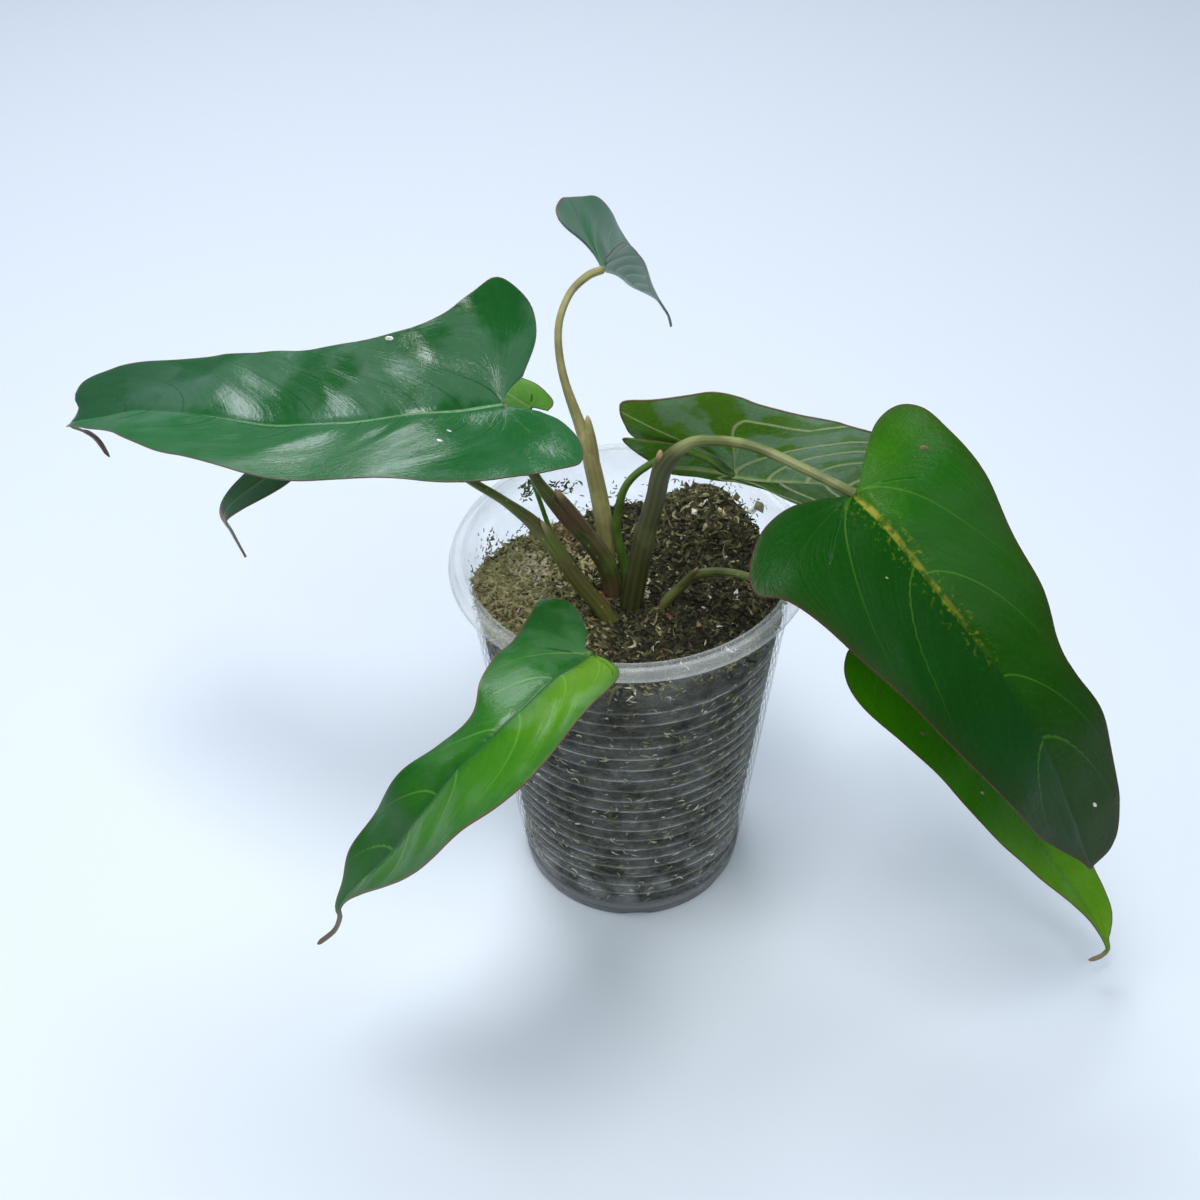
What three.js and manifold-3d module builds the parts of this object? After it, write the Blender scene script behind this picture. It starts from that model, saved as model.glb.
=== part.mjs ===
// A young potted philodendron: eight leaves on sheathed petioles, potting mix and a clear ribbed cup.
// Millimetres, +Z up, with +Y away from the viewer. Every piece is made round the cup's axis, with the foot
// on z = 0, and the whole is then moved so that the origin is under the middle of its box.
import * as THREE from "three";
import { mergeVertices } from "three/addons/utils/BufferGeometryUtils.js";
import Module from "manifold-3d";

const wasm = await Module();
wasm.setup();

// Driving dimensions of the cup.
const cupHeight = 117;
const rimRadius = 47.5;
const mouthRadius = 43.6;
const wallTopRadius = 43.2;
const footRadius = 33.5;
const wallThickness = 0.8;
const lipDrop = 2.9;
const ribCount = 19;
const ribPitch = 4.7;
const firstRibHeight = 13;
const ribDepth = 0.45;
const ribHalfWidth = 0.9;
const flangeThickness = 1;
const lipThickness = 0.9;
const lipLean = 1.3;
const floorHeight = 3.4;
const footRingWidth = 2.2;
const edgeRound = 0.5;
const notchCount = 7;
const notchWidth = 9;
const notchHeight = 1.3;
const cupSegments = 32;

// Driving dimensions of the plant and its mix.
const bladeThickness = 0.8;
const keelDepth = 0.6;
const smallKeelDepth = 0.25;
const veinSlant = 0.6;
const lobeVeinBend = 1.5;
const lobeReach = 30;
const flatWidths = [1, 10];
const flatEase = 4;
const gap = 0.3;
const landingReach = 1.5;
const rootDepth = 84;
const petioleSides = 8;
const sheath = { sides: 7, steps: 4, baseShare: 0.86, waistShare: 0.69, waistPlace: 0.55, tipRadius: 0.35 };
const mixLevel = 96;
const mixEdgeRise = 9;
const mixInset = 0.15;
const mixFoot = { height: 1.5, inset: 1.2 };
const mixHollow = { x: -20, y: 34, width: 17, share: 0.95 };
const mixDip = { x: 8, y: 42, width: 14, share: 0.6 };
const mixMound = { x: 21, y: 29, width: 9, height: 11 };

const degree = Math.PI / 180;
const clamp = THREE.MathUtils.clamp;
const vector = (point) => new THREE.Vector3(...point);

// A smooth curve through points; three.js extends it straight past both ends.
const splineOf = (points) =>
  new THREE.CatmullRomCurve3(points.map(vector), false, "catmullrom", 0.5);

// A value read from a short list that is spread evenly over 0 to 1.
function spread(list, share) {
  const place = clamp(share, 0, 1) * (list.length - 1);
  const low = Math.min(Math.floor(place), list.length - 2);
  return THREE.MathUtils.lerp(list[low], list[low + 1], place - low);
}

// The solid inside a closed surface of triangles.
function solidOf(geometry) {
  const bare = geometry.clone();
  bare.deleteAttribute("normal");
  bare.deleteAttribute("uv");
  const merged = mergeVertices(bare, 1e-4);
  const corners = merged.index.array;
  const kept = [];
  for (let i = 0; i < corners.length; i += 3) {
    const [a, b, c] = corners.slice(i, i + 3);
    if (a !== b && b !== c && c !== a) kept.push(a, b, c);
  }
  const vertProperties = merged.attributes.position.array;
  const made = new wasm.Mesh({ numProp: 3, vertProperties, triVerts: new Uint32Array(kept) });
  return new wasm.Manifold(made);
}

function geometryOf(solid) {
  const { vertProperties, triVerts } = solid.getMesh();
  const geometry = new THREE.BufferGeometry();
  geometry.setAttribute("position", new THREE.BufferAttribute(new Float32Array(vertProperties), 3));
  geometry.setIndex(new THREE.BufferAttribute(new Uint32Array(triVerts), 1));
  geometry.computeVertexNormals();
  return geometry;
}

function surface(points, triangles) {
  const geometry = new THREE.BufferGeometry().setFromPoints(points);
  geometry.setIndex(triangles);
  return geometry;
}

// Cup

// Outer radius of the plain wall at a height.
const wallRadius = (height) =>
  THREE.MathUtils.mapLinear(height, 0, cupHeight - lipDrop, footRadius, wallTopRadius);

function cupProfile() {
  const lipHeight = cupHeight - lipDrop;
  const flangeHeight = cupHeight - flangeThickness;
  const innerFoot = footRadius - footRingWidth;
  const outline = [
    [0, floorHeight - wallThickness],
    [innerFoot - 3 * edgeRound, floorHeight - wallThickness],
    [innerFoot - edgeRound, edgeRound],
    [innerFoot, 0],
    [footRadius - edgeRound, 0],
    [footRadius, edgeRound],
  ];
  for (let i = 0; i < ribCount; i++) {
    const height = firstRibHeight + i * ribPitch;
    outline.push([wallRadius(height - ribHalfWidth), height - ribHalfWidth]);
    outline.push([wallRadius(height) + ribDepth, height]);
    outline.push([wallRadius(height + ribHalfWidth), height + ribHalfWidth]);
  }
  outline.push([wallTopRadius, flangeHeight - edgeRound]);
  outline.push([wallTopRadius + edgeRound, flangeHeight]);
  outline.push([rimRadius - lipLean - edgeRound, flangeHeight]);
  outline.push([rimRadius - lipThickness, lipHeight]);
  outline.push([rimRadius, lipHeight]);
  outline.push([rimRadius - lipLean, cupHeight]);
  outline.push([mouthRadius, cupHeight]);
  outline.push([wallTopRadius - wallThickness, cupHeight - lipLean]);
  outline.push([wallRadius(floorHeight + edgeRound) - wallThickness, floorHeight + edgeRound]);
  outline.push([wallRadius(floorHeight) - wallThickness - edgeRound, floorHeight]);
  outline.push([0, floorHeight]);
  return outline.map(([r, z]) => new THREE.Vector2(r, z));
}

function cupGeometry() {
  const turned = new THREE.LatheGeometry(cupProfile(), cupSegments).rotateX(Math.PI / 2);
  let cup = solidOf(turned);
  for (let i = 0; i < notchCount; i++) {
    const notch = new THREE.CylinderGeometry(notchWidth / 2, notchWidth / 2, 4 * footRingWidth, 16);
    notch.scale(1, 1, (2 * notchHeight) / notchWidth).rotateZ(Math.PI / 2);
    notch.translate(footRadius, 0, 0).rotateZ(((i + 0.25) * 2 * Math.PI) / notchCount);
    cup = cup.subtract(solidOf(notch));
  }
  return geometryOf(cup);
}

// Potting mix

const bump = (x, y, { x: centreX, y: centreY, width }) =>
  Math.exp(-((x - centreX) ** 2 + (y - centreY) ** 2) / (2 * width ** 2));

// Height of the mix: a bowl that rises to the rim, a hollow at the back left, a mound at the back right.
function mixHeight(x, y) {
  const edge = (Math.hypot(x, y) / mouthRadius) ** 3;
  const kept = (1 - mixHollow.share * bump(x, y, mixHollow)) * (1 - mixDip.share * bump(x, y, mixDip));
  return mixLevel + mixEdgeRise * edge * kept + mixMound.height * bump(x, y, mixMound);
}

function mixSolid() {
  const segments = cupSegments;
  const rings = 5;
  const bottom = floorHeight + gap;
  const innerRadius = (height) => wallRadius(height) - wallThickness - gap;
  const points = [new THREE.Vector3(0, 0, mixHeight(0, 0))];
  for (let ring = 1; ring <= rings; ring++) {
    for (let i = 0; i < segments; i++) {
      const turn = (2 * Math.PI * i) / segments;
      const direction = new THREE.Vector2(Math.cos(turn), Math.sin(turn));
      const rim = innerRadius(mixLevel);
      const level = mixHeight(direction.x * rim, direction.y * rim);
      const reach = (innerRadius(level) - mixInset) * (ring / rings);
      const x = direction.x * reach;
      const y = direction.y * reach;
      points.push(new THREE.Vector3(x, y, mixHeight(x, y)));
    }
  }
  for (let i = 0; i < segments; i++) {
    const turn = (2 * Math.PI * i) / segments;
    const reach = innerRadius(bottom + mixFoot.height) - mixFoot.inset;
    points.push(new THREE.Vector3(reach * Math.cos(turn), reach * Math.sin(turn), bottom));
  }
  points.push(new THREE.Vector3(0, 0, bottom));
  const triangles = [];
  const at = (ring, i) => 1 + (ring - 1) * segments + (i % segments);
  for (let i = 0; i < segments; i++) {
    triangles.push(0, at(1, i), at(1, i + 1));
    for (let ring = 1; ring <= rings; ring++) {
      triangles.push(at(ring, i), at(ring + 1, i), at(ring + 1, i + 1));
      triangles.push(at(ring, i), at(ring + 1, i + 1), at(ring, i + 1));
    }
    triangles.push(at(rings + 1, i + 1), at(rings + 1, i), points.length - 1);
  }
  return solidOf(surface(points, triangles));
}

// Petioles

// A closed tube through points with its own radius at each; the ends are capped flat.
function tube(points, radii, sides, steps) {
  const curve = splineOf(points);
  const rings = [];
  const normal = new THREE.Vector3(0, 1, 0);
  for (let i = 0; i <= steps; i++) {
    const share = i / steps;
    const centre = curve.getPoint(share);
    const tangent = curve.getTangent(share);
    normal.addScaledVector(tangent, -normal.dot(tangent)).normalize();
    const side = tangent.clone().cross(normal);
    const radius = spread(radii, share);
    const ring = [];
    for (let k = 0; k < sides; k++) {
      const turn = (2 * Math.PI * k) / sides;
      const outwards = normal.clone().multiplyScalar(Math.cos(turn)).addScaledVector(side, Math.sin(turn));
      ring.push(centre.clone().addScaledVector(outwards, radius));
    }
    rings.push(ring);
  }
  const triangles = [];
  const at = (i, k) => i * sides + (k % sides);
  for (let i = 0; i < steps; i++) {
    for (let k = 0; k < sides; k++) {
      triangles.push(at(i, k), at(i, k + 1), at(i + 1, k + 1));
      triangles.push(at(i, k), at(i + 1, k + 1), at(i + 1, k));
    }
  }
  for (let k = 1; k < sides - 1; k++) {
    triangles.push(at(0, 0), at(0, k + 1), at(0, k));
    triangles.push(at(steps, 0), at(steps, k), at(steps, k + 1));
  }
  return surface(rings.flat(), triangles);
}

function petioleSolid(petiole, extra = 0) {
  const radii = petiole.radii.map((radius) => radius + extra);
  const [[x, y, foot], ...upper] = petiole.points;
  const points = [[x, y, foot - extra], ...upper];
  const steps = 2 * points.length - 5;
  const stalk = solidOf(tube(points, radii, petioleSides, steps));
  if (!petiole.sheathTip) return stalk;
  const { start, tip } = petiole.sheathTip;
  const base = petiole.points[start];
  const middle = vector(base).lerp(vector(tip), sheath.waistPlace).toArray();
  const width = petiole.radii[start];
  const sheathRadii = [width * sheath.baseShare, width * sheath.waistShare, sheath.tipRadius];
  const grown = sheathRadii.map((radius) => radius + extra);
  return stalk.add(solidOf(tube([base, middle, tip], grown, sheath.sides, sheath.steps)));
}

// Leaf blades

// Where a leaf's midrib is at an arc length, with its tangent, upper normal and left side.
function midribFrame(leaf, reach) {
  const held = clamp(reach, 0, leaf.length);
  const share = held / leaf.length;
  const centre = leaf.curve.getPointAt(share);
  const tangent = leaf.curve.getTangentAt(share);
  centre.addScaledVector(tangent, reach - held);
  const along = clamp(held / leaf.bladeLength, 0, 1);
  const up = new THREE.Vector3(
    spread(leaf.up.map((direction) => direction[0]), along),
    spread(leaf.up.map((direction) => direction[1]), along),
    spread(leaf.up.map((direction) => direction[2]), along),
  );
  up.addScaledVector(tangent, -up.dot(tangent)).normalize();
  const left = up.clone().cross(tangent);
  return { centre, tangent, up, left, along };
}

// A point of a blade: reach along the midrib, width across it, and +1 on the left half or -1 on the right.
// Where only the midrib hooks down, from leaf.flatFrom on, the rest of the blade goes straight on.
function bladePoint(leaf, half, side, reach, width) {
  const { centre, up, left, along } = midribFrame(leaf, reach);
  const fold = spread(half.fold, along) * degree;
  const curl = Math.max(spread(half.curl ?? [0, 0], along) * degree, 1e-6);
  const across = (Math.sin(fold + curl * width) - Math.sin(fold)) / curl;
  const back = Math.max(-reach, 0) / lobeReach;
  const rise = (Math.cos(fold) - Math.cos(fold + curl * width)) / curl + (half.lift ?? 0) * back ** 2;
  const point = centre.addScaledVector(left, side * across).addScaledVector(up, rise);
  if (reach <= leaf.flatFrom) return point;
  const flat = midribFrame(leaf, leaf.flatFrom);
  flat.centre.addScaledVector(flat.tangent, reach - leaf.flatFrom);
  flat.centre.addScaledVector(flat.left, side * width * Math.cos(fold));
  flat.centre.addScaledVector(flat.up, width * Math.sin(fold));
  const share = THREE.MathUtils.smoothstep(width, ...flatWidths);
  return point.lerp(flat.centre, share * clamp((reach - leaf.flatFrom) / flatEase, 0, 1));
}

// Where lateral veins end on the margin: a fan round the lobe, then one vein for each midrib station.
function veinEnds(leaf, half) {
  const margin = splineOf(half.margin.map(([reach, width]) => [reach, width, 0]));
  const samples = 400;
  const origins = [];
  for (let i = 0; i <= samples; i++) {
    const { x, y } = margin.getPoint(i / samples);
    origins.push(x - veinSlant * y);
  }
  const shareAt = (station) => {
    const last = origins.findLastIndex((origin) => origin < station);
    const next = Math.min(last + 1, samples);
    const part = next > last ? (station - origins[last]) / (origins[next] - origins[last]) : 0;
    return (last + part) / samples;
  };
  const fanEnd = shareAt(0);
  const ends = [];
  for (let i = 0; i < leaf.fan; i++) ends.push(margin.getPoint((fanEnd * i) / leaf.fan));
  for (let k = 0; k < leaf.stations; k++) ends.push(margin.getPoint(shareAt(stationAt(leaf, k))));
  ends.push(margin.getPoint(1));
  return ends;
}

const stationAt = (leaf, k) => (leaf.length * k) / leaf.stations;

// The upper sheet of one half: rows of points that leave the midrib like lateral veins. Those of the
// lobe leave its base sideways and bend back.
function halfGrid(leaf, half, side) {
  return veinEnds(leaf, half).map((end, i) => {
    const origin = stationAt(leaf, Math.max(i - leaf.fan, 0));
    const bend = i < leaf.fan ? leaf.lobeVeinBend : 1;
    const row = [];
    for (let j = 0; j <= leaf.strips; j++) {
      const share = j / leaf.strips;
      const reach = THREE.MathUtils.lerp(origin, end.x, share ** bend);
      row.push(bladePoint(leaf, half, side, reach, end.y * share));
    }
    return row;
  });
}

// A blade: an upper and a lower face cut into the same triangles, with a wall round the margin. The
// midrib is a keel under it that thins towards the tip.
function bladeSolid(leaf) {
  const points = [];
  const keelShares = [];
  const triangles = [];
  const known = new Map();
  const place = (point, keelShare) => {
    const key = point.toArray().map((value) => value.toFixed(3)).join();
    if (!known.has(key)) {
      known.set(key, points.length);
      points.push(point);
      keelShares.push(keelShare);
    }
    return known.get(key);
  };
  const add = (a, b, c) => {
    if (a !== b && b !== c && c !== a) triangles.push([a, b, c]);
  };
  for (const side of [1, -1]) {
    const half = side > 0 ? leaf.left : leaf.right;
    const grid = halfGrid(leaf, half, side);
    const ids = grid.map((row, i) => {
      const keelShare = 1 - Math.max(i - leaf.fan, 0) / leaf.stations;
      return row.map((point, j) => place(point, j === 0 ? keelShare : 0));
    });
    for (let i = 0; i < grid.length - 1; i++) {
      for (let j = 0; j < leaf.strips; j++) {
        const [a, b, c, d] = [ids[i][j], ids[i + 1][j], ids[i + 1][j + 1], ids[i][j + 1]];
        add(a, side > 0 ? b : c, side > 0 ? c : b);
        add(a, side > 0 ? c : d, side > 0 ? d : c);
      }
    }
  }
  const normals = points.map(() => new THREE.Vector3());
  for (const [a, b, c] of triangles) {
    const face = points[b].clone().sub(points[a]).cross(points[c].clone().sub(points[a]));
    for (const corner of [a, b, c]) normals[corner].add(face);
  }
  for (const normal of normals) normal.normalize();
  const count = points.length;
  const upper = points.map((point, i) => point.clone().addScaledVector(normals[i], bladeThickness / 2));
  const lower = points.map((point, i) => {
    const depth = bladeThickness / 2 + leaf.keelDepth * keelShares[i];
    return point.clone().addScaledVector(normals[i], -depth);
  });
  const faces = triangles.flatMap(([a, b, c]) => [a, b, c, count + a, count + c, count + b]);
  const edges = new Set(triangles.flatMap(([a, b, c]) => [`${a} ${b}`, `${b} ${c}`, `${c} ${a}`]));
  for (const edge of edges) {
    const [a, b] = edge.split(" ").map(Number);
    if (edges.has(`${b} ${a}`)) continue;
    faces.push(b, a, count + a, b, count + a, count + b);
  }
  return solidOf(surface([...upper, ...lower], faces));
}

// Leaves: midrib points run from the petiole to the blade's end, then along the drip tip.
// A margin is [reach along the midrib, width from it], from the end of the sinus edge round the lobe
// to the tip.
const leaves = {
  left_leaf: {
    midrib: [[-30, 1, 161], [-49, -5.5, 163], [-74.5, -4.5, 161], [-101.5, 3.5, 158],
      [-121.5, 12.5, 154], [-141.5, 18, 148], [-140.5, 21.5, 143], [-139.5, 24.5, 138],
      [-138.5, 25.5, 132]],
    bladeEnd: 5,
    flatFrom: 106,
    up: [[0, -0.3, 0.95], [0, -0.14, 1], [-0.25, -0.05, 1]],
    left: {
      fold: [4, 6, 4],
      margin: [[-8, 4], [-12.5, 7.5], [-15, 14], [-13.5, 20.5], [-8, 22.5], [8, 23], [30, 20.5],
        [60, 18.5], [80, 14], [95, 10.5], [109, 5], [118, 1.5], [126, 0.8], [136, 0.6]],
    },
    right: {
      fold: [8, 6, 4],
      curl: [0.3, 0.1, 0],
      margin: [[-7, 7], [-13, 17], [-14.5, 26], [-11, 32.5], [-6.5, 35], [0, 31.5], [8, 27], [24, 24],
        [54, 23], [88, 20.5], [104, 20], [111, 19.8], [115.6, 18.4], [119.7, 16.9], [121.9, 14.7],
        [122, 11.5], [121.3, 7.9], [120.3, 3.2], [123, 1], [129, 0.8], [136, 0.6]],
    },
    fan: 11,
    stations: 17,
    petiole: {
      points: [[-4.6, 5, rootDepth], [-4.5, 5, 97], [-6, 5, 106], [-10, 4.5, 115], [-16.5, 4, 125],
        [-23, 3, 136.5], [-27, 2, 150], [-30, 1, 160.5]],
      radii: [2.8, 2.8, 2.7, 2.6, 2.4, 1.4, 1.3, 1.3],
      sheathTip: { start: 3, tip: [-18.6, 2, 134.5] },
    },
    ease: 0.25,
    colour: "#2f6d3a",
  },
  right_leaf: {
    midrib: [[52, -20, 147.5], [60, -29, 142.5], [70.5, -40, 132.5], [82.5, -51, 120.5],
      [95, -60, 103], [113.5, -66, 62]],
    up: [[0.25, -0.75, 0.6], [0.3, -0.75, 0.55], [0.4, -0.8, 0.4]],
    left: {
      fold: [5, 5],
      margin: [[-4.5, 7], [-9.5, 15.5], [-9.5, 22.5], [-5, 26.5], [3, 27], [15, 26], [29, 22.5],
        [44, 20], [57, 15.3], [65, 14.7], [78, 16.5], [97, 14.5], [112, 11.5], [118.5, 7], [120, 0.7]],
    },
    right: {
      fold: [5, 5],
      margin: [[-3.5, 6.5], [-6.7, 15], [-6, 24], [-1, 32], [4.5, 35], [10, 31], [20, 28], [37, 24.5],
        [55, 21.5], [71, 18], [94, 12], [105, 7.5], [115, 2.5], [120, 0.7]],
    },
    fan: 11,
    stations: 17,
    petiole: {
      points: [[0, 0, rootDepth], [0.3, 0, 95], [2, 0, 108], [4, 0, 120], [6.5, 0, 131.5],
        [8.7, 0, 142], [14, -1, 149], [20.5, -3, 151.5], [29.5, -8, 153], [40, -14, 151],
        [49, -19, 148.8], [52, -20, 147.4]],
      radii: [3.1, 3.1, 2.9, 2.7, 2.5, 2.3, 1.5, 1.3, 1.25, 1.2, 1.2, 1.2],
      sheathTip: { start: 4, tip: [7.8, 0, 147] },
    },
    ease: 1.2,
    colour: "#1f5c1e",
  },
  front_leaf: {
    midrib: [[-11, -48, 124.5], [-19, -59, 128], [-29, -70, 126.5], [-41.5, -78, 118],
      [-55, -81, 99.5], [-70.5, -80, 77.5], [-72, -81, 72], [-74, -82, 68], [-78.5, -83, 64]],
    bladeEnd: 5,
    up: [[-0.3, -0.2, 0.9], [-0.5, -0.3, 0.75], [-0.6, -0.5, 0.55]],
    left: {
      fold: [8, 10],
      margin: [[1, 6.5], [6, 12], [13, 15], [24, 15.3], [39, 16.8], [48, 14.8], [61, 11.7], [77, 6.6],
        [88, 3], [96, 1], [103, 0.8], [112, 0.6]],
    },
    right: {
      fold: [8, 10],
      margin: [[-8, 6], [-14.5, 13], [-17, 19], [-13, 23.5], [-4, 20], [6, 17], [16, 15.6], [26, 12],
        [34, 7.3], [45, 8.3], [57, 10.7], [70, 10.2], [85, 7.5], [94, 3], [103, 0.8], [112, 0.6]],
    },
    fan: 11,
    stations: 15,
    petiole: {
      points: [[-15.5, -13, rootDepth], [-16, -14, 96], [-16.5, -24, 108], [-15, -33, 115.5],
        [-13, -41, 119.6], [-11.4, -46.3, 122.8], [-11, -48, 124.5]],
      radii: [1.3, 1.3, 1.2, 1.1, 1.1, 1.1],
    },
    colour: "#4f9a2c",
  },
  back_right_leaf: {
    midrib: [[28, 14, 129], [36, 12.5, 128.5], [50.5, 11, 127.5], [60, 10, 126.5], [75.5, 9, 123],
      [90, 8, 118]],
    up: [[0.1, 0.96, 0.27], [0.1, 0.96, 0.27], [0.1, 0.9, 0.4]],
    left: {
      fold: [-5, -5],
      lift: -3.4,
      margin: [[-26, -11.6], [-22, -6], [-16, 0.8], [-6, 2.5], [2, 2.8], [9, 6.7], [18, 10], [32, 12],
        [46, 11], [58, 6], [64, 0.7]],
    },
    right: {
      fold: [-5, -5],
      lift: 1.5,
      margin: [[-28.4, 13], [-30.6, 19], [-29.5, 23.4], [-22.1, 26.9], [-13.5, 30.7], [-7.5, 33.4],
        [-0.8, 33.3], [5, 31.6], [17, 28], [30, 24], [43, 19], [56, 11], [62, 5], [64, 0.7]],
    },
    fan: 11,
    stations: 15,
    petiole: {
      points: [[-0.5, 8, rootDepth], [-0.5, 8.5, 99], [-3, 11.5, 112], [-2, 12.5, 122], [0.5, 12, 129],
        [6, 10, 135.7], [13.5, 9, 140], [20, 9.3, 137.6], [24.3, 10.5, 133], [28.2, 14.1, 128.9]],
      radii: [1.4, 1.4, 1.2, 1.1, 1, 0.95, 0.95, 0.95, 0.9],
    },
    colour: "#3d6a28",
  },
  low_right_leaf: {
    midrib: [[61, -30.5, 108], [75, -37.5, 95], [92, -44, 73], [107.5, -48.3, 50], [121.5, -52, 30],
      [132, -55.8, 13], [131.6, -57.4, 9.3], [127.5, -58.5, 8]],
    bladeEnd: 5,
    up: [[0.3, -0.7, 0.6], [0.3, -0.7, 0.6], [0.4, -0.7, 0.5]],
    left: {
      fold: [5, 5],
      margin: [[-6, 6], [-8, 12], [-2, 16], [15, 16], [40, 14], [66, 12.3], [86.5, 10.6], [98.8, 8.8],
        [106.4, 7.8], [113.6, 6.4], [117.5, 4.7], [120.3, 2.6], [122.5, 1], [130, 0.7]],
    },
    right: {
      fold: [5, 5],
      margin: [[-5, 4.5], [-5.5, 8], [-2, 12.5], [6, 15], [20, 14.5], [38, 12], [55, 10.9], [65.4, 9.8],
        [76.8, 7.6], [86.9, 6.1], [95.3, 4.5], [103.9, 2.6], [111.2, 1.4], [120, 0.9], [130, 0.7]],
    },
    fan: 10,
    stations: 15,
    petiole: {
      points: [[8.5, -1, rootDepth], [8.9, -1.2, 96], [13.4, -1.5, 103], [18.3, -4, 110],
        [26, -14.5, 119], [33.5, -24, 122.5], [41.5, -29.5, 120.5], [50.5, -31, 115],
        [61, -30.6, 108.2]],
      radii: [1.5, 1.4, 1.35, 1.3, 1, 0.95, 0.95, 0.95, 0.95],
      sheathTip: { start: 2, tip: [17.6, -5, 113] },
    },
    ease: 1.1,
    colour: "#5e9a1f",
  },
  under_left_leaf: {
    midrib: [[-49, 6, 148], [-61.5, 9, 150], [-75, 9, 148], [-86, 7, 141.5], [-94.5, 4, 136],
      [-100.5, 1, 131], [-101, 0, 125.5], [-100, -1, 117.5]],
    bladeEnd: 5,
    up: [[0, -0.3, 1], [-0.1, -0.3, 1], [-0.9, -0.4, 0.4]],
    left: {
      fold: [5, 5],
      margin: [[-8, 4], [-10, 9], [-4, 12], [8, 12], [22, 10], [34, 7], [44, 6], [51, 5], [57, 3.5],
        [63, 2], [72, 0.6]],
    },
    right: {
      fold: [5, 5],
      margin: [[-8, 5], [-10, 11], [-4, 14], [8, 14], [20, 12.5], [32, 9], [42, 6], [51, 5], [57, 3.5],
        [63, 1.5], [72, 0.6]],
    },
    fan: 9,
    stations: 11,
    petiole: {
      points: [[-5, -6, rootDepth], [-5.6, -6, 95.5], [-14, -5, 110.5], [-22.5, -3, 125],
        [-31, -1, 133], [-40, 1, 139], [-46, 3, 144], [-49.2, 6, 148]],
      radii: [2.3, 2.2, 2.2, 2.1, 1.2, 1.05, 1.05, 1.05],
      sheathTip: { start: 2, tip: [-22.3, -5, 130] },
    },
    colour: "#3c5f34",
  },
  top_leaf: {
    midrib: [[-5, 50, 170], [-0.5, 62, 161.6], [3.5, 75, 152], [8, 87, 142.6], [12, 97, 134.8],
      [14.5, 100, 129.6], [16, 101, 126.5], [17, 102, 122]],
    bladeEnd: 4,
    up: [[0.85, 0.5, 0.3], [0.93, 0.3, 0.2], [0.97, 0.1, 0.2]],
    lobeVeinBend: 3,
    left: {
      fold: [8, 8],
      margin: [[-19.9, 11.1], [-16.5, 14], [-5.2, 19.9], [3.6, 21.6], [12.1, 22.9], [20.8, 23.5],
        [29, 20.7], [36.4, 16.8], [42.9, 13.3], [51.2, 9.8], [56, 4.7], [61.4, 1.5], [66, 0.8],
        [75, 0.6]],
    },
    right: {
      fold: [100, 100, 90, 20],
      margin: [[-4, 3], [-4, 7], [0, 9], [10, 8.5], [20, 7], [32, 5], [45, 2.5], [59, 1], [66, 0.8],
        [75, 0.6]],
    },
    fan: 9,
    stations: 13,
    petiole: {
      points: [[-5.6, 12, rootDepth], [-5.8, 12.5, 97], [-6, 13, 105], [-6.5, 15, 114], [-9, 20, 128],
        [-11.5, 25, 136], [-15.5, 31, 147], [-17, 36, 154.5], [-16.5, 40, 161], [-13.5, 45, 166],
        [-9, 48, 169], [-5, 50, 169.8]],
      radii: [2.5, 2.5, 2.5, 2.45, 2.3, 1.7, 1.15, 1.05, 1, 1, 1.1, 1.1],
      sheathTip: { start: 4, tip: [-10, 25, 141] },
    },
    colour: "#476f5c",
  },
  young_leaf: {
    midrib: [[-25.5, 35, 137.5], [-33, 40, 140], [-40.5, 46, 142]],
    up: [[0, -0.3, 1], [0, -0.3, 1]],
    left: { fold: [5, 5], margin: [[-4, 2.5], [-4, 5], [0, 6.5], [8, 6], [16, 3], [19.3, 0.7]] },
    right: { fold: [5, 5], margin: [[-4.5, 2], [-4.5, 4.5], [-2.5, 6], [4, 7], [12, 5], [19.3, 0.7]] },
    fan: 7,
    stations: 5,
    strips: 3,
    keelDepth: smallKeelDepth,
    petiole: {
      points: [[-20.5, 30.5, 82], [-20.8, 31, 92], [-23.6, 31.4, 105], [-26.3, 31.4, 117.9],
        [-27.2, 34, 127.5], [-25.5, 35, 137.3]],
      radii: [0.8, 0.75, 0.7, 0.65, 0.6, 0.6],
    },
    ease: 0.25,
    colour: "#7fae2a",
  },
};

// The petiole's end lies under the base of the midrib, a gap clear of the blade's underside.
function seatPetiole(leaf) {
  const { points, radii } = leaf.petiole;
  const drop = bladeThickness / 2 + leaf.keelDepth + gap + radii.at(-1);
  const { centre, up } = midribFrame(leaf, landingReach);
  points[points.length - 1] = centre.addScaledVector(up, -drop).toArray();
  const before = vector(points.at(-2)).addScaledVector(up, -drop * leaf.ease);
  points[points.length - 2] = before.toArray();
}

for (const leaf of Object.values(leaves)) {
  leaf.ease ??= 0.5;
  leaf.curve = splineOf(leaf.midrib);
  leaf.length = leaf.curve.getLength();
  leaf.bladeEnd ??= leaf.midrib.length - 1;
  leaf.bladeLength = splineOf(leaf.midrib.slice(0, leaf.bladeEnd + 1)).getLength();
  leaf.flatFrom ??= Infinity;
  leaf.lobeVeinBend ??= lobeVeinBend;
  leaf.strips ??= 4;
  leaf.keelDepth ??= keelDepth;
  seatPetiole(leaf);
}

// The dried scale that stands between the petiole bases.
const scalePoints = [[-6.4, -0.6, 92], [-6.8, -1, 97], [-8, -1.6, 102.5]];
const scaleRadii = [1.5, 1.6, 0.5];
const scaleTube = (points, radii) => solidOf(tube(points, radii, sheath.sides, sheath.steps));

function meshOf(name, geometry, colour, roughness) {
  const material = new THREE.MeshStandardMaterial({ color: colour, roughness, metalness: 0 });
  const mesh = new THREE.Mesh(geometry, material);
  mesh.name = name;
  return mesh;
}

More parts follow.
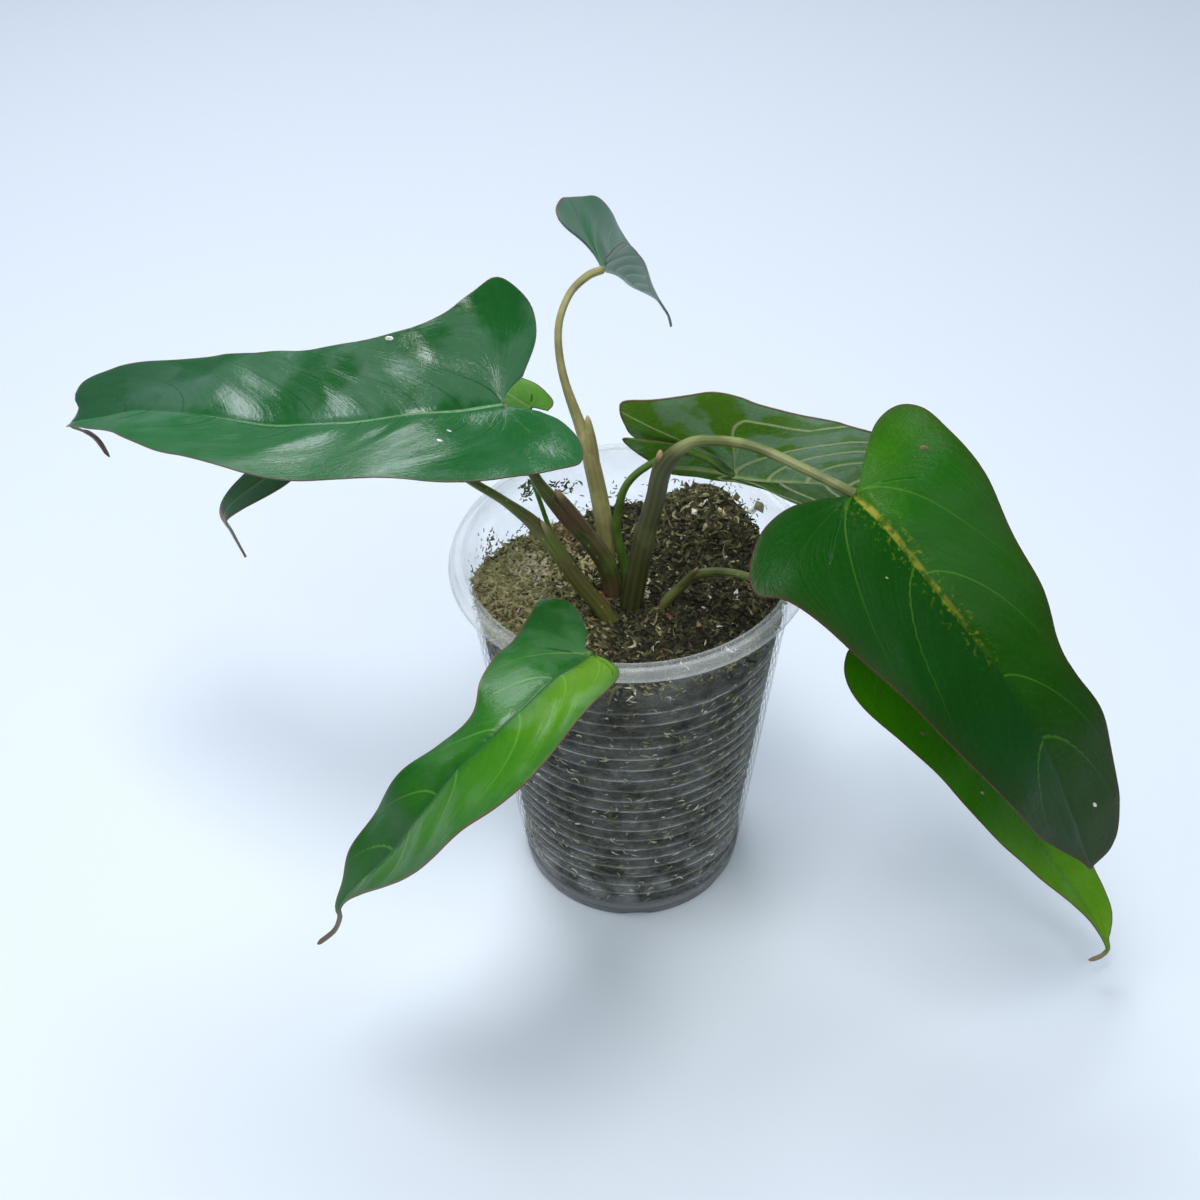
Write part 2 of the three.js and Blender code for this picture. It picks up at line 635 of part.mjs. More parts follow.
function build() {
  const plant = new THREE.Group();
  const cup = meshOf("cup", cupGeometry(), "#dfe6ea", 0.15);
  cup.material.transparent = true;
  cup.material.opacity = 0.35;
  plant.add(cup);
  let mix = mixSolid();
  for (const [name, leaf] of Object.entries(leaves)) {
    plant.add(meshOf(`${name}_blade`, geometryOf(bladeSolid(leaf)), leaf.colour, 0.35));
    plant.add(meshOf(`${name}_petiole`, geometryOf(petioleSolid(leaf.petiole)), "#6c6a35", 0.5));
    mix = mix.subtract(petioleSolid(leaf.petiole, gap));
  }
  plant.add(meshOf("dried_scale", geometryOf(scaleTube(scalePoints, scaleRadii)), "#a5705c", 0.8));
  const [[x, y, foot], ...upper] = scalePoints;
  const socketRadii = scaleRadii.map((radius) => radius + gap);
  mix = mix.subtract(scaleTube([[x, y, foot - gap], ...upper], socketRadii));
  plant.add(meshOf("potting_mix", geometryOf(mix), "#3d3524", 0.95));
  const middle = new THREE.Box3().setFromObject(plant).getCenter(new THREE.Vector3());
  plant.position.set(-middle.x, -middle.y, 0);
  return plant;
}

export default build();
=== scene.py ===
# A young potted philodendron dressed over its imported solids. Lengths of the plant and its cup are in
# millimetres round the cup's axis, with z = 0 at the foot; toFrame turns them into the frame's metres.
# The stage and the lights are in metres in the frame.
import math

import bpy
import numpy as np
from mathutils import Matrix, Vector, noise


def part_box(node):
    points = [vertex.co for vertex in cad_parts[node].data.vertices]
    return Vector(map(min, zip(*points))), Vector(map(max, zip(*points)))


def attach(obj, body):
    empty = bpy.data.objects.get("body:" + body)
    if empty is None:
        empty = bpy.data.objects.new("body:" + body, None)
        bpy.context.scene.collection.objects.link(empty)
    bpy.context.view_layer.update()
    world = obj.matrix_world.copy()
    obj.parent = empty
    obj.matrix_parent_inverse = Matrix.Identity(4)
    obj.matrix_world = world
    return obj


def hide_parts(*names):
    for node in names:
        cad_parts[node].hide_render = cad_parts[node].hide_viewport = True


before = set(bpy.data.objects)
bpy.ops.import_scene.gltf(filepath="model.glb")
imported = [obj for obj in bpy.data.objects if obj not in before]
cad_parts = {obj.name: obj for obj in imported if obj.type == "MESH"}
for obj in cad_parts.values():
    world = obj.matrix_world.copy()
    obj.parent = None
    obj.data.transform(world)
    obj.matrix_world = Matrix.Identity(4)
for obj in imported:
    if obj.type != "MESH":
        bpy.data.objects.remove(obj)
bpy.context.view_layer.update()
cupLow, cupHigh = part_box("cup")
cupAxis = np.array([(cupLow.x + cupHigh.x) / 2, (cupLow.y + cupHigh.y) / 2, 0.0])
body = "root"
randomSeed = 7
dice = np.random.default_rng(randomSeed)
print("frame loaded, cup axis at", cupAxis.round(4))


def toFrame(points):
    return np.asarray(points, float) / 1000 + cupAxis


def linear(hexColour):
    channels = [int(hexColour[i:i + 2], 16) / 255 for i in (1, 3, 5)]
    turned = [c / 12.92 if c <= 0.04045 else ((c + 0.055) / 1.055) ** 2.4 for c in channels]
    return (*turned, 1.0)


# Adds one shader node; settings are its properties, inputs are values or the sockets that feed it.
def addNode(tree, kind, settings=None, inputs=None):
    made = tree.nodes.new(kind)
    for name, value in (settings or {}).items():
        setattr(made, name, value)
    for name, value in (inputs or {}).items():
        if isinstance(value, bpy.types.NodeSocket):
            tree.links.new(value, made.inputs[name])
        else:
            made.inputs[name].default_value = value
    return made


smoothStep = {"interpolation_type": "SMOOTHSTEP"}
colourMix = {"data_type": "RGBA"}


# Spreads colours evenly over a ramp.
def spreadTones(ramp, tones):
    stops = ramp.color_ramp.elements
    stops[0].color = linear(tones[0])
    stops[1].color = linear(tones[-1])
    for i, tone in enumerate(tones[1:-1], 1):
        stops.new(i / (len(tones) - 1)).color = linear(tone)


def newMaterial(name):
    material = bpy.data.materials.new(name)
    material.use_nodes = True
    tree = material.node_tree
    tree.nodes.clear()
    shader = addNode(tree, "ShaderNodeBsdfPrincipled")
    addNode(tree, "ShaderNodeOutputMaterial", inputs={"Surface": shader.outputs[0]})
    return material, tree, shader


def addPiece(name, points, faces, material, nodes=(), attributes=None, smooth=True):
    mesh = bpy.data.meshes.new(name)
    mesh.from_pydata(toFrame(points).tolist(), [], faces)
    mesh.validate()
    for key, values in (attributes or {}).items():
        values = np.asarray(values, np.float32)
        kind = "FLOAT_VECTOR" if values.ndim == 2 else "FLOAT"
        field = "vector" if values.ndim == 2 else "value"
        mesh.attributes.new(key, kind, "POINT").data.foreach_set(field, values.ravel())
    mesh.polygons.foreach_set("use_smooth", [smooth] * len(mesh.polygons))
    mesh.materials.append(material)
    mesh.update()
    piece = bpy.data.objects.new(name, mesh)
    bpy.context.scene.collection.objects.link(piece)
    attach(piece, body)
    if nodes:
        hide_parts(*nodes)


# Camera: 42 degrees down on the cup's mouth, turned a little in its own plane.
photoView = dict(lens=39.0, tiltFromVertical=48.06, roll=-1.65, place=(-8.1, -261.7, 333.3))

camera = bpy.data.objects.new("camera", bpy.data.cameras.new("camera"))
camera.data.lens = photoView["lens"]
camera.data.sensor_width = 36.0
camera.data.clip_start = 0.01
tilt = Matrix.Rotation(math.radians(photoView["tiltFromVertical"]), 4, "X")
roll = Matrix.Rotation(math.radians(photoView["roll"]), 4, "Z")
camera.matrix_world = Matrix.Translation(toFrame(photoView["place"])) @ tilt @ roll
bpy.context.scene.collection.objects.link(camera)
bpy.context.scene.camera = camera
print("camera placed")


# A smooth curve through points, read at shares t that run from 0 to the number of spans.
def curveAt(points, t):
    p = np.asarray(points, float)
    padded = np.vstack([2 * p[0] - p[1], p, 2 * p[-1] - p[-2]])
    low = np.clip(np.floor(t).astype(int), 0, len(p) - 2)
    f = (t - low)[:, None]
    before, start, end, after = padded[low], padded[low + 1], padded[low + 2], padded[low + 3]
    leave = (end - before) / 2
    arrive = (after - start) / 2
    return ((2 * f**3 - 3 * f**2 + 1) * start + (f**3 - 2 * f**2 + f) * leave
            + (3 * f**2 - 2 * f**3) * end + (f**3 - f**2) * arrive)


def smoothLine(points, count):
    return curveAt(points, np.linspace(0, len(points) - 1, count))


def lengthsAlong(line):
    return np.concatenate([[0], np.cumsum(np.linalg.norm(np.diff(line, axis=0), axis=1))])


def spread(values, share):
    return np.interp(share, np.linspace(0, 1, len(values)), values)


def unit(vectors):
    return vectors / np.maximum(np.linalg.norm(vectors, axis=-1, keepdims=True), 1e-9)


def ease(low, high, value):
    t = np.clip((value - low) / (high - low), 0, 1)
    return t * t * (3 - 2 * t)


def cloud(points, scale, octaves=3):
    return np.array([noise.fractal(Vector(p) / scale, 1.0, 2.0, octaves) for p in points])


# Leaf blades. A blade is drawn flat as reach along the midrib and width from it, and each flat point
# is then carried on to the bent midrib, with the half's fold, curl, lift and overlap.
bladeBuild = dict(
    fanRows=44, stationSpacing=1.0, fewestStations=24, strips=20, fineSteps=1600, coarseSteps=600,
    turnStep=0.5,
    veinSlant=0.8, veinBend=0.75, lobeVeinBend=1.5, lobeVeinSpread=2.2, faintFrom=0.7, lobeVeinFade=0.25,
    thickness=0.5, edgeThickness=0.28, edgeEase=1.4, lobeLiftReach=30, flatWidths=(1, 10), flatEase=4,
    ribExtra=0.15, midribLook=(9, 20))  # midribLook: distance to the margin and between veins at the midrib

# Relief of a blade in millimetres: where quilting starts and ends from midrib to margin, how it dies
# between crowded veins, and how wide the midrib groove, its keel and the veins are.
relief = dict(
    quiltRise=(0.02, 0.3), quiltFall=(0.6, 1.0), quiltPower=0.75, quiltPatch=14.0, quiltPatchSpan=(0.15, 1.2),
    crowdedGap=2.5, openGap=8.5, widestGap=100, faintQuilt=0.7, unevenScale=22.0, tipFadeFrom=0.82,
    ribTaper=0.72, grooveDepth=0.35, grooveWidth=(0.9, 0.2), keelWidth=(0.8, 0.15),
    veinWidth=0.7, veinRise=0.22, veinStart=(0.06, 0.3), veinEnd=0.8, faintVein=0.7)


# The bent midrib of a leaf, and how flat points are carried on to it.
class MidribLine:
    def __init__(self, leaf):
        self.line = smoothLine(leaf["midrib"], bladeBuild["fineSteps"])
        self.reach = lengthsAlong(self.line)
        self.length = self.reach[-1]
        spans = leaf.get("bladeEnd", len(leaf["midrib"]) - 1)
        bladeLine = smoothLine(leaf["midrib"][:spans + 1], bladeBuild["coarseSteps"])
        self.bladeLength = lengthsAlong(bladeLine)[-1]
        self.up = np.array(leaf["up"], float)
        self.flatFrom = min(leaf.get("flatFrom", self.length), self.length)

    def frameAt(self, s):
        held = np.clip(s, 0, self.length)
        centre = np.stack([np.interp(held, self.reach, self.line[:, k]) for k in range(3)], -1)
        ahead = np.clip(held + bladeBuild["turnStep"], 0, self.length)
        behind = np.clip(held - bladeBuild["turnStep"], 0, self.length)
        tangent = unit(np.stack([np.interp(ahead, self.reach, self.line[:, k])
                                 - np.interp(behind, self.reach, self.line[:, k]) for k in range(3)], -1))
        centre = centre + tangent * (s - held)[:, None]
        along = np.clip(held / self.bladeLength, 0, 1)
        up = np.stack([spread(self.up[:, k], along) for k in range(3)], -1)
        up = unit(up - tangent * (up * tangent).sum(-1, keepdims=True))
        return centre, tangent, up, np.cross(up, tangent), along

    # Where only the midrib hooks down, from flatFrom on, the rest of the blade goes straight on.
    def carry(self, half, side, s, v):
        centre, tangent, up, left, along = self.frameAt(s)
        fold = np.radians(spread(half["fold"], along))
        curl = np.maximum(np.radians(spread(half.get("curl", [0, 0]), along)), 1e-6)
        across = (np.sin(fold + curl * v) - np.sin(fold)) / curl
        back = np.maximum(-s, 0) / bladeBuild["lobeLiftReach"]
        rise = ((np.cos(fold) - np.cos(fold + curl * v)) / curl + half.get("lift", 0) * back**2
                + half.get("overlap", 0) * np.maximum(-v, 0))
        points = centre + left * (side * across)[:, None] + up * rise[:, None]
        if self.flatFrom == self.length:
            return points
        centre, tangent, up, left, along = self.frameAt(np.full(len(s), float(self.flatFrom)))
        beyond = np.maximum(s - self.flatFrom, 0)
        straight = (centre + tangent * beyond[:, None] + left * (side * v * np.cos(fold))[:, None]
                    + up * (v * np.sin(fold))[:, None])
        share = ease(*bladeBuild["flatWidths"], v) * np.clip(beyond / bladeBuild["flatEase"], 0, 1)
        return points + (straight - points) * share[:, None]


# Where each row of a half ends on the margin: a fan round the lobe, then one row per midrib station.
def rowEnds(half, stations):
    margin = smoothLine(half["margin"], bladeBuild["fineSteps"])
    origins = margin[:, 0] - bladeBuild["veinSlant"] * margin[:, 1]
    places = []
    for station in stations:
        last = np.nonzero(origins < station)[0][-1]
        nextOne = min(last + 1, len(origins) - 1)
        gap = origins[nextOne] - origins[last]
        places.append(last + ((station - origins[last]) / gap if gap > 0 else 0))
    fan = np.linspace(0, places[0], bladeBuild["fanRows"], endpoint=False)
    where = np.concatenate([fan, places[:-1], [len(origins) - 1]])
    steps = np.arange(len(origins))
    return np.stack([np.interp(where, steps, margin[:, k]) for k in range(2)], -1)


def addBlade(name, leaf, material):
    rib = MidribLine(leaf)
    fan, strips = bladeBuild["fanRows"], bladeBuild["strips"]
    count = max(bladeBuild["fewestStations"], int(rib.length / bladeBuild["stationSpacing"]))
    stations = np.linspace(0, rib.length, count + 1)
    t = 0.5 - 0.5 * np.cos(np.pi * np.linspace(0, 1, strips + 1)[1:])
    bend = bladeBuild["veinBend"]
    flat = [np.stack([stations, np.zeros(count + 1)], -1)]
    placed = [rib.carry(leaf["left"], 1, stations, np.zeros(count + 1))]
    look = [np.zeros((count + 1, 5))]
    look[0][:, 2:4] = bladeBuild["midribLook"]
    rows = fan + count + 1
    for side, half in ((1, leaf["left"]), (-1, leaf["right"])):
        ends = rowEnds(half, stations)
        origin = stations[np.maximum(np.arange(rows) - fan, 0)]
        lobeBend = leaf.get("lobeVeinBend", bladeBuild["lobeVeinBend"])
        bent = np.where(np.arange(rows)[:, None] < fan, t**lobeBend, t * (1 - bend) + t**2 * bend)
        s = origin[:, None] + (ends[:, 0] - origin)[:, None] * bent
        v = ends[:, 1][:, None] * t
        placed.append(rib.carry(half, side, s.ravel(), v.ravel()))
        flat.append(np.stack([s.ravel(), side * v.ravel()], -1))
        # The phase counts the lateral veins from the base on, whole at each vein; lobe veins count down.
        lobeVeins = leaf["lobeVeins"]
        lobeGap = max(half["veins"][0], bladeBuild["lobeVeinSpread"] * leaf["sweep"] / lobeVeins)
        inFan = np.clip(np.arange(rows) / fan, 0, 1)
        veinsAt = [lobeGap * k for k in range(-lobeVeins - 1, 1)] + list(half["veins"]) + [rib.length * 3]
        veinStart = origin + (inFan - 1) * lobeVeins * lobeGap
        swept = veinStart[:, None] - leaf["sweep"] * inFan[:, None]**2 * t**2
        phase = np.interp(swept, veinsAt, np.arange(len(veinsAt)) - lobeVeins - 1)
        downRow = np.hypot(np.gradient(s, axis=0), np.gradient(v, axis=0))
        alongRow = np.hypot(np.gradient(s, axis=1), np.gradient(v, axis=1))
        slope = np.hypot(np.gradient(phase, axis=0) / np.maximum(downRow, 1e-3),
                         np.gradient(phase, axis=1) / np.maximum(alongRow, 1e-3))
        veinGap = 1 / np.maximum(slope, 1 / relief["widestGap"])
        faint = np.broadcast_to(1 - ease(bladeBuild["faintFrom"], 1.0, inFan)[:, None], s.shape)
        span = np.hypot(ends[:, 0] - origin, ends[:, 1])
        share = np.broadcast_to(t, s.shape)
        look.append(np.stack([phase.ravel(), share.ravel(), (span[:, None] * (1 - share)).ravel(),
                              veinGap.ravel(), faint.ravel()], -1))
    flat, points, look = np.vstack(flat), np.vstack(placed), np.vstack(look)
    phase, share, toEdge, veinGap, faint = look.T
    toVein = np.abs(phase - np.round(phase)) * veinGap

    def at(side, i, j):
        if j == 0:
            return max(i - fan, 0)
        return count + 1 + (0 if side > 0 else rows * strips) + i * strips + j - 1

    faces = []
    for side in (1, -1):
        for i in range(rows - 1):
            for j in range(strips):
                corners = [at(side, i, j), at(side, i + 1, j), at(side, i + 1, j + 1), at(side, i, j + 1)]
                if corners[0] == corners[1]:
                    corners = corners[1:]
                faces.append(corners if side > 0 else corners[::-1])

    triangles = np.array([[f[0], f[k], f[k + 1]] for f in faces for k in range(1, len(f) - 1)])
    cross = np.cross(points[triangles[:, 1]] - points[triangles[:, 0]],
                     points[triangles[:, 2]] - points[triangles[:, 0]])
    normals = np.zeros_like(points)
    for k in range(3):
        np.add.at(normals, triangles[:, k], cross)
    normals = unit(normals)

    # Along the normal: quilting between the veins, an uneven sheet, a rippled margin and a groove over
    # the midrib. Midrib and veins stand out below, and the blade thins at its margin.
    width = np.abs(flat[:, 1])
    along = np.clip(flat[:, 0] / rib.bladeLength, 0, 1.2)
    inside = ease(*relief["quiltRise"], share) * (1 - ease(*relief["quiltFall"], share))
    tipFade = 1 - ease(relief["tipFadeFrom"], 1.0, along)
    betweenVeins = np.sin(np.pi * phase)**2
    patchPlace = np.column_stack([flat, np.full(len(flat), leaf["seed"] * 9.0)])
    patchy = np.clip(0.5 + cloud(patchPlace, relief["quiltPatch"], 2), *relief["quiltPatchSpan"])
    uncrowded = np.clip((veinGap - relief["crowdedGap"]) / (relief["openGap"] - relief["crowdedGap"]), 0, 1)
    sheet = (leaf["quilt"] * betweenVeins**relief["quiltPower"] * inside * tipFade * patchy
             * (1 - relief["faintQuilt"] * faint) * uncrowded)
    unevenPlace = np.column_stack([flat, np.full(len(flat), leaf["seed"] * 40.0)])
    sheet += leaf["uneven"] * cloud(unevenPlace, leaf.get("unevenScale", relief["unevenScale"]), 2) * tipFade
    sheet += leaf["ripple"] * np.sin(2 * np.pi * flat[:, 0] / leaf["rippleEvery"]
                                     + np.sign(flat[:, 1]) + leaf["seed"]) * share**3 * tipFade
    ribSize = leaf["ribSize"] * (1 - relief["ribTaper"] * np.clip(along, 0, 1))
    grooveWidth = relief["grooveWidth"][0] * ribSize + relief["grooveWidth"][1]
    groove = -relief["grooveDepth"] * ribSize * np.exp(-(width / grooveWidth)**2)
    edge = ease(0.0, bladeBuild["edgeEase"], toEdge)
    thickness = bladeBuild["edgeThickness"] + (bladeBuild["thickness"] - bladeBuild["edgeThickness"]) * edge
    veinStart = relief["veinStart"][0] + relief["veinStart"][1] * faint
    veinLine = (np.exp(-(toVein / relief["veinWidth"])**2) * ease(0.0, 1.0, share / veinStart)
                * (1 - ease(relief["veinEnd"], 1.0, share)) * (1 - relief["faintVein"] * faint))
    top = sheet + groove + thickness / 2
    keelWidth = relief["keelWidth"][0] * ribSize + relief["keelWidth"][1]
    keel = ribSize * np.exp(-(width / keelWidth)**2) * (flat[:, 0] >= -0.5)
    under = sheet - thickness / 2 - keel - relief["veinRise"] * veinLine * tipFade
    upper = points + normals * top[:, None]
    lower = points + normals * under[:, None]

    n = len(points)
    edges = set()
    for face in faces:
        for a, b in zip(face, face[1:] + face[:1]):
            edges.add((a, b))
    rim = [(a, b) for a, b in edges if (b, a) not in edges]
    closed = faces + [[n + c for c in face[::-1]] for face in faces]
    closed += [[b, a, n + a, n + b] for a, b in rim]
    flat3 = np.column_stack([flat, np.zeros(n)])
    attributes = {
        "flatMm": np.vstack([flat3, flat3]),
        "veinPhase": np.tile(phase, 2),
        "acrossShare": np.tile(share, 2),
        "edgeMm": np.tile(toEdge, 2),
        "veinGap": np.tile(veinGap, 2),
        "veinFaint": np.tile(faint * bladeBuild["lobeVeinFade"], 2),
        "alongShare": np.tile(along, 2),
        "ribWidths": np.tile(width / (ribSize + bladeBuild["ribExtra"]), 2),
        "underside": np.concatenate([np.zeros(n), np.ones(n)]),
    }
    addPiece(name + "_blade_skin", np.vstack([upper, lower]), closed, material, [name + "_blade"],
             attributes)


# Living leaf tissue: a waxy cuticle over green cells. It gives an even green with a sharp gloss, thin
# lateral veins paler or darker than the leaf, and a reddish margin; the underside is paler. Each half has
# its own tones, read from the base of the leaf to its tip. The sizes are in millimetres. Real cross veins
# lie under a millimetre apart and real cells are far finer than that; both are drawn coarser, so that they
# show.
tissueSizes = dict(tonePatch=24.0, crossVeins=1.4, cells=1.5, flecks=1.6, ribBreaks=4.0)


def leafTissue(name, look):
    material, tree, shader = newMaterial(name)
    flat = addNode(tree, "ShaderNodeAttribute", {"attribute_name": "flatMm"}).outputs["Vector"]
    phase, across, along, toEdge, veinGap, veinFaint, ribPlace, underside = [
        addNode(tree, "ShaderNodeAttribute", {"attribute_name": key}).outputs["Fac"]
        for key in ("veinPhase", "acrossShare", "alongShare", "edgeMm",
                    "veinGap", "veinFaint", "ribWidths", "underside")]
    sideways = addNode(tree, "ShaderNodeSeparateXYZ", inputs={0: flat}).outputs[1]
    wander = addNode(tree, "ShaderNodeTexNoise",
                     inputs={"Vector": flat, "Scale": 1 / tissueSizes["tonePatch"], "Detail": 2.0})
    toneAt = addNode(tree, "ShaderNodeMath", {"operation": "MULTIPLY_ADD"},
                     {0: wander.outputs[0], 1: look["wander"], 2: along})
    toneAt = addNode(tree, "ShaderNodeMapRange",
                     inputs={0: toneAt.outputs[0], 1: look["wander"] / 2 - 0.25, 2: look["wander"] / 2 + 1})
    halves = []
    for side in ("leftTones", "rightTones"):
        ramp = addNode(tree, "ShaderNodeValToRGB", inputs={0: toneAt.outputs[0]})
        spreadTones(ramp, look[side])
        halves.append(ramp.outputs[0])
    onLeft = addNode(tree, "ShaderNodeMapRange", smoothStep, {0: sideways, 1: -1.5, 2: 1.5})
    colour = addNode(tree, "ShaderNodeMix", colourMix,
                     {0: onLeft.outputs[0], 6: halves[1], 7: halves[0]}).outputs[2]
    # A darker band along the midrib, which is painted shade in its sunken crease, and a darker band inside
    # the margin.
    for reach, outer, inner, tone in ((across, 0.3, 0.0, "ribCreaseShade"), (toEdge, 6.0, 0.5, "nearEdge")):
        band = addNode(tree, "ShaderNodeMapRange", smoothStep,
                       {0: reach, 1: outer, 2: inner, 4: look[tone + "Amount"]})
        colour = addNode(tree, "ShaderNodeMix", colourMix,
                         {0: band.outputs[0], 6: colour, 7: linear(look[tone])}).outputs[2]
    # Fine variation: cross veins and cells a little lighter or darker.
    combed = addNode(tree, "ShaderNodeCombineXYZ", inputs={0: phase, 1: across})
    streaks = addNode(tree, "ShaderNodeMapping",
                      inputs={"Vector": combed.outputs[0],
                              "Scale": (look["veinSpan"] / tissueSizes["crossVeins"], 3.0, 1.0)})
    streak = addNode(tree, "ShaderNodeTexNoise",
                     inputs={"Vector": streaks.outputs[0], "Scale": 1.0, "Detail": 4.0, "Roughness": 0.6})
    speckle = addNode(tree, "ShaderNodeTexNoise", inputs={"Vector": flat, "Scale": 1 / tissueSizes["cells"],
                                                          "Detail": 4.0, "Roughness": 0.7})
    both = addNode(tree, "ShaderNodeMath", {"operation": "ADD"},
                   {0: streak.outputs[0], 1: speckle.outputs[0]})
    value = addNode(tree, "ShaderNodeMapRange", inputs={0: both.outputs[0], 1: 0.6, 2: 1.4, 3: 0.72, 4: 0.98})
    colour = addNode(tree, "ShaderNodeHueSaturation",
                     inputs={"Value": value.outputs[0], "Color": colour}).outputs[0]
    # Painted sheen: silvery patches of painted reflection in the colour, which follow the vein streaks.
    sheenPatch = addNode(tree, "ShaderNodeTexNoise",
                         inputs={"Vector": flat, "Scale": 1 / look["sheenPatchSize"], "Detail": 3.0})
    sheenAt = addNode(tree, "ShaderNodeMath", {"operation": "MULTIPLY_ADD"},
                      {0: streak.outputs[0], 1: 0.07, 2: sheenPatch.outputs[0]})
    offVein = addNode(tree, "ShaderNodeMath", {"operation": "PINGPONG"}, {0: phase, 1: 0.5})
    sheenAt = addNode(tree, "ShaderNodeMath", {"operation": "MULTIPLY_ADD"},
                      {0: offVein.outputs[0], 1: look["sheenBands"], 2: sheenAt.outputs[0]})
    paintedSheen = addNode(tree, "ShaderNodeMapRange", smoothStep,
                    {0: sheenAt.outputs[0], 1: look["sheenFrom"] - 0.06, 2: look["sheenFrom"] + 0.06})
    sheenSide = addNode(tree, "ShaderNodeMapRange",
                        inputs={0: sideways, 1: -2.0, 2: 2.0, 3: look["sheenRight"], 4: look["sheenLeft"]})
    awayFromTip = addNode(tree, "ShaderNodeMapRange", smoothStep,
                          {0: along, 1: look["sheenEnd"], 2: look["sheenEnd"] - 0.3})
    sheenShare = addNode(tree, "ShaderNodeMath", {"operation": "MULTIPLY"},
                         {0: paintedSheen.outputs[0], 1: sheenSide.outputs[0]})
    sheenShare = addNode(tree, "ShaderNodeMath", {"operation": "MULTIPLY"},
                         {0: sheenShare.outputs[0], 1: awayFromTip.outputs[0]})
    colour = addNode(tree, "ShaderNodeMix", colourMix,
                     {0: sheenShare.outputs[0], 6: colour, 7: linear(look["paintedSheen"])}).outputs[2]
    # Lateral veins, which fade outwards on the upper face.
    toVein = addNode(tree, "ShaderNodeMath", {"operation": "MULTIPLY_ADD"},
                     {0: offVein.outputs[0], 1: veinGap, 2: veinFaint})
    vein = addNode(tree, "ShaderNodeMapRange", smoothStep,
                   {0: toVein.outputs[0], 1: look["veinWidth"], 2: look["veinWidth"] * 0.3,
                    4: look["veinAmount"]})
    outward = addNode(tree, "ShaderNodeMapRange",
                      inputs={0: across, 1: 0.35, 2: 0.95, 3: vein.outputs[0], 4: 0.0})
    upperFace = addNode(tree, "ShaderNodeMix", colourMix,
                        {0: outward.outputs[0], 6: colour, 7: linear(look["vein"])}).outputs[2]
    below = addNode(tree, "ShaderNodeMix", colourMix,
                    {0: look["underAmount"], 6: colour, 7: linear(look["underGreen"])}).outputs[2]
    below = addNode(tree, "ShaderNodeMix", colourMix,
                    {0: vein.outputs[0], 6: below, 7: linear(look["underVein"])}).outputs[2]
    colour = addNode(tree, "ShaderNodeMix", colourMix, {0: underside, 6: upperFace, 7: below}).outputs[2]
    # Yellow flecks beside the midrib, towards the base, where a look asks for them.
    fleckNoise = addNode(tree, "ShaderNodeTexNoise",
                         inputs={"Vector": flat, "Scale": 1 / tissueSizes["flecks"], "Detail": 4.0,
                                 "Roughness": 0.65})
    flecks = addNode(tree, "ShaderNodeMapRange", smoothStep,
                     {0: fleckNoise.outputs[0], 1: 0.53, 2: 0.68, 4: look["fleckAmount"]})
    nearRib = addNode(tree, "ShaderNodeMapRange", smoothStep,
                      {0: across, 1: look["fleckReach"], 2: 0.0, 4: flecks.outputs[0]})
    ribFade = addNode(tree, "ShaderNodeMapRange", inputs={0: along, 1: 0.0, 2: look["ribEnd"],
                                                          3: look["ribAmount"], 4: look["ribAmountAtEnd"]})
    ribNoise = addNode(tree, "ShaderNodeTexNoise",
                       inputs={"Vector": flat, "Scale": 1 / tissueSizes["ribBreaks"], "Detail": 3.0})
    ribBreaks = addNode(tree, "ShaderNodeMapRange", smoothStep,
                        {0: ribNoise.outputs[0], 1: 0.42, 2: 0.56, 3: 1 - look["ribBroken"]})
    ribShare = addNode(tree, "ShaderNodeMath", {"operation": "MULTIPLY"},
                       {0: ribFade.outputs[0], 1: ribBreaks.outputs[0]})
    # Flecks, midrib, margin and dried tip, each over the one before: where it starts, where it is full,
    # how strong it is and its tone.
    layers = [(along, look["fleckEnd"], look["fleckEnd"] - 0.15, nearRib.outputs[0], "fleck"),
              (ribPlace, look["ribWidth"], look["ribWidth"] * 0.35, ribShare.outputs[0], "rib"),
              (toEdge, look["edgeWidth"], look["edgeWidth"] * 0.3, 0.85, "edge"),
              (along, look["dryFrom"], look["dryFrom"] + 0.03, 1.0, "dry")]
    for reach, start, full, most, tone in layers:
        layer = addNode(tree, "ShaderNodeMapRange", smoothStep, {0: reach, 1: start, 2: full, 4: most})
        colour = addNode(tree, "ShaderNodeMix", colourMix,
                         {0: layer.outputs[0], 6: colour, 7: linear(look[tone])}).outputs[2]
    rough = addNode(tree, "ShaderNodeMapRange", inputs={0: both.outputs[0], 1: 0.7, 2: 1.3,
                                                        3: look["roughness"], 4: look["roughness"] + 0.1})
    bump = addNode(tree, "ShaderNodeBump", inputs={"Strength": look["bump"], "Distance": 0.0003,
                                                   "Height": both.outputs[0]})
    tree.links.new(colour, shader.inputs["Base Color"])
    tree.links.new(rough.outputs[0], shader.inputs["Roughness"])
    tree.links.new(bump.outputs[0], shader.inputs["Normal"])
    shader.inputs["IOR"].default_value = 1.46
    shader.inputs["Specular IOR Level"].default_value = look["specular"]
    return material


# Petioles: round stalks with a sheath round the lower part, which ends in a blunt pale tip. Ridges are
# given as number to a turn, depth as a share of the radius, and shift.
petioleBuild = dict(
    sides=20, measureSteps=60, stepLength=1.1, fewestSteps=12, ridges=((7, 0.035, 0), (11, 0.02, 1)),
    sheathFade=(-0.02, 0.06), sheathSteps=26, sheathWidth=0.9, sheathTaper=0.75, sheathTaperPower=2.2,
    sheathFlat=0.8, bluntFrom=0.93, bluntEnd=1.02, bluntWidth=0.3, paleTip=(0.8, 0.97))


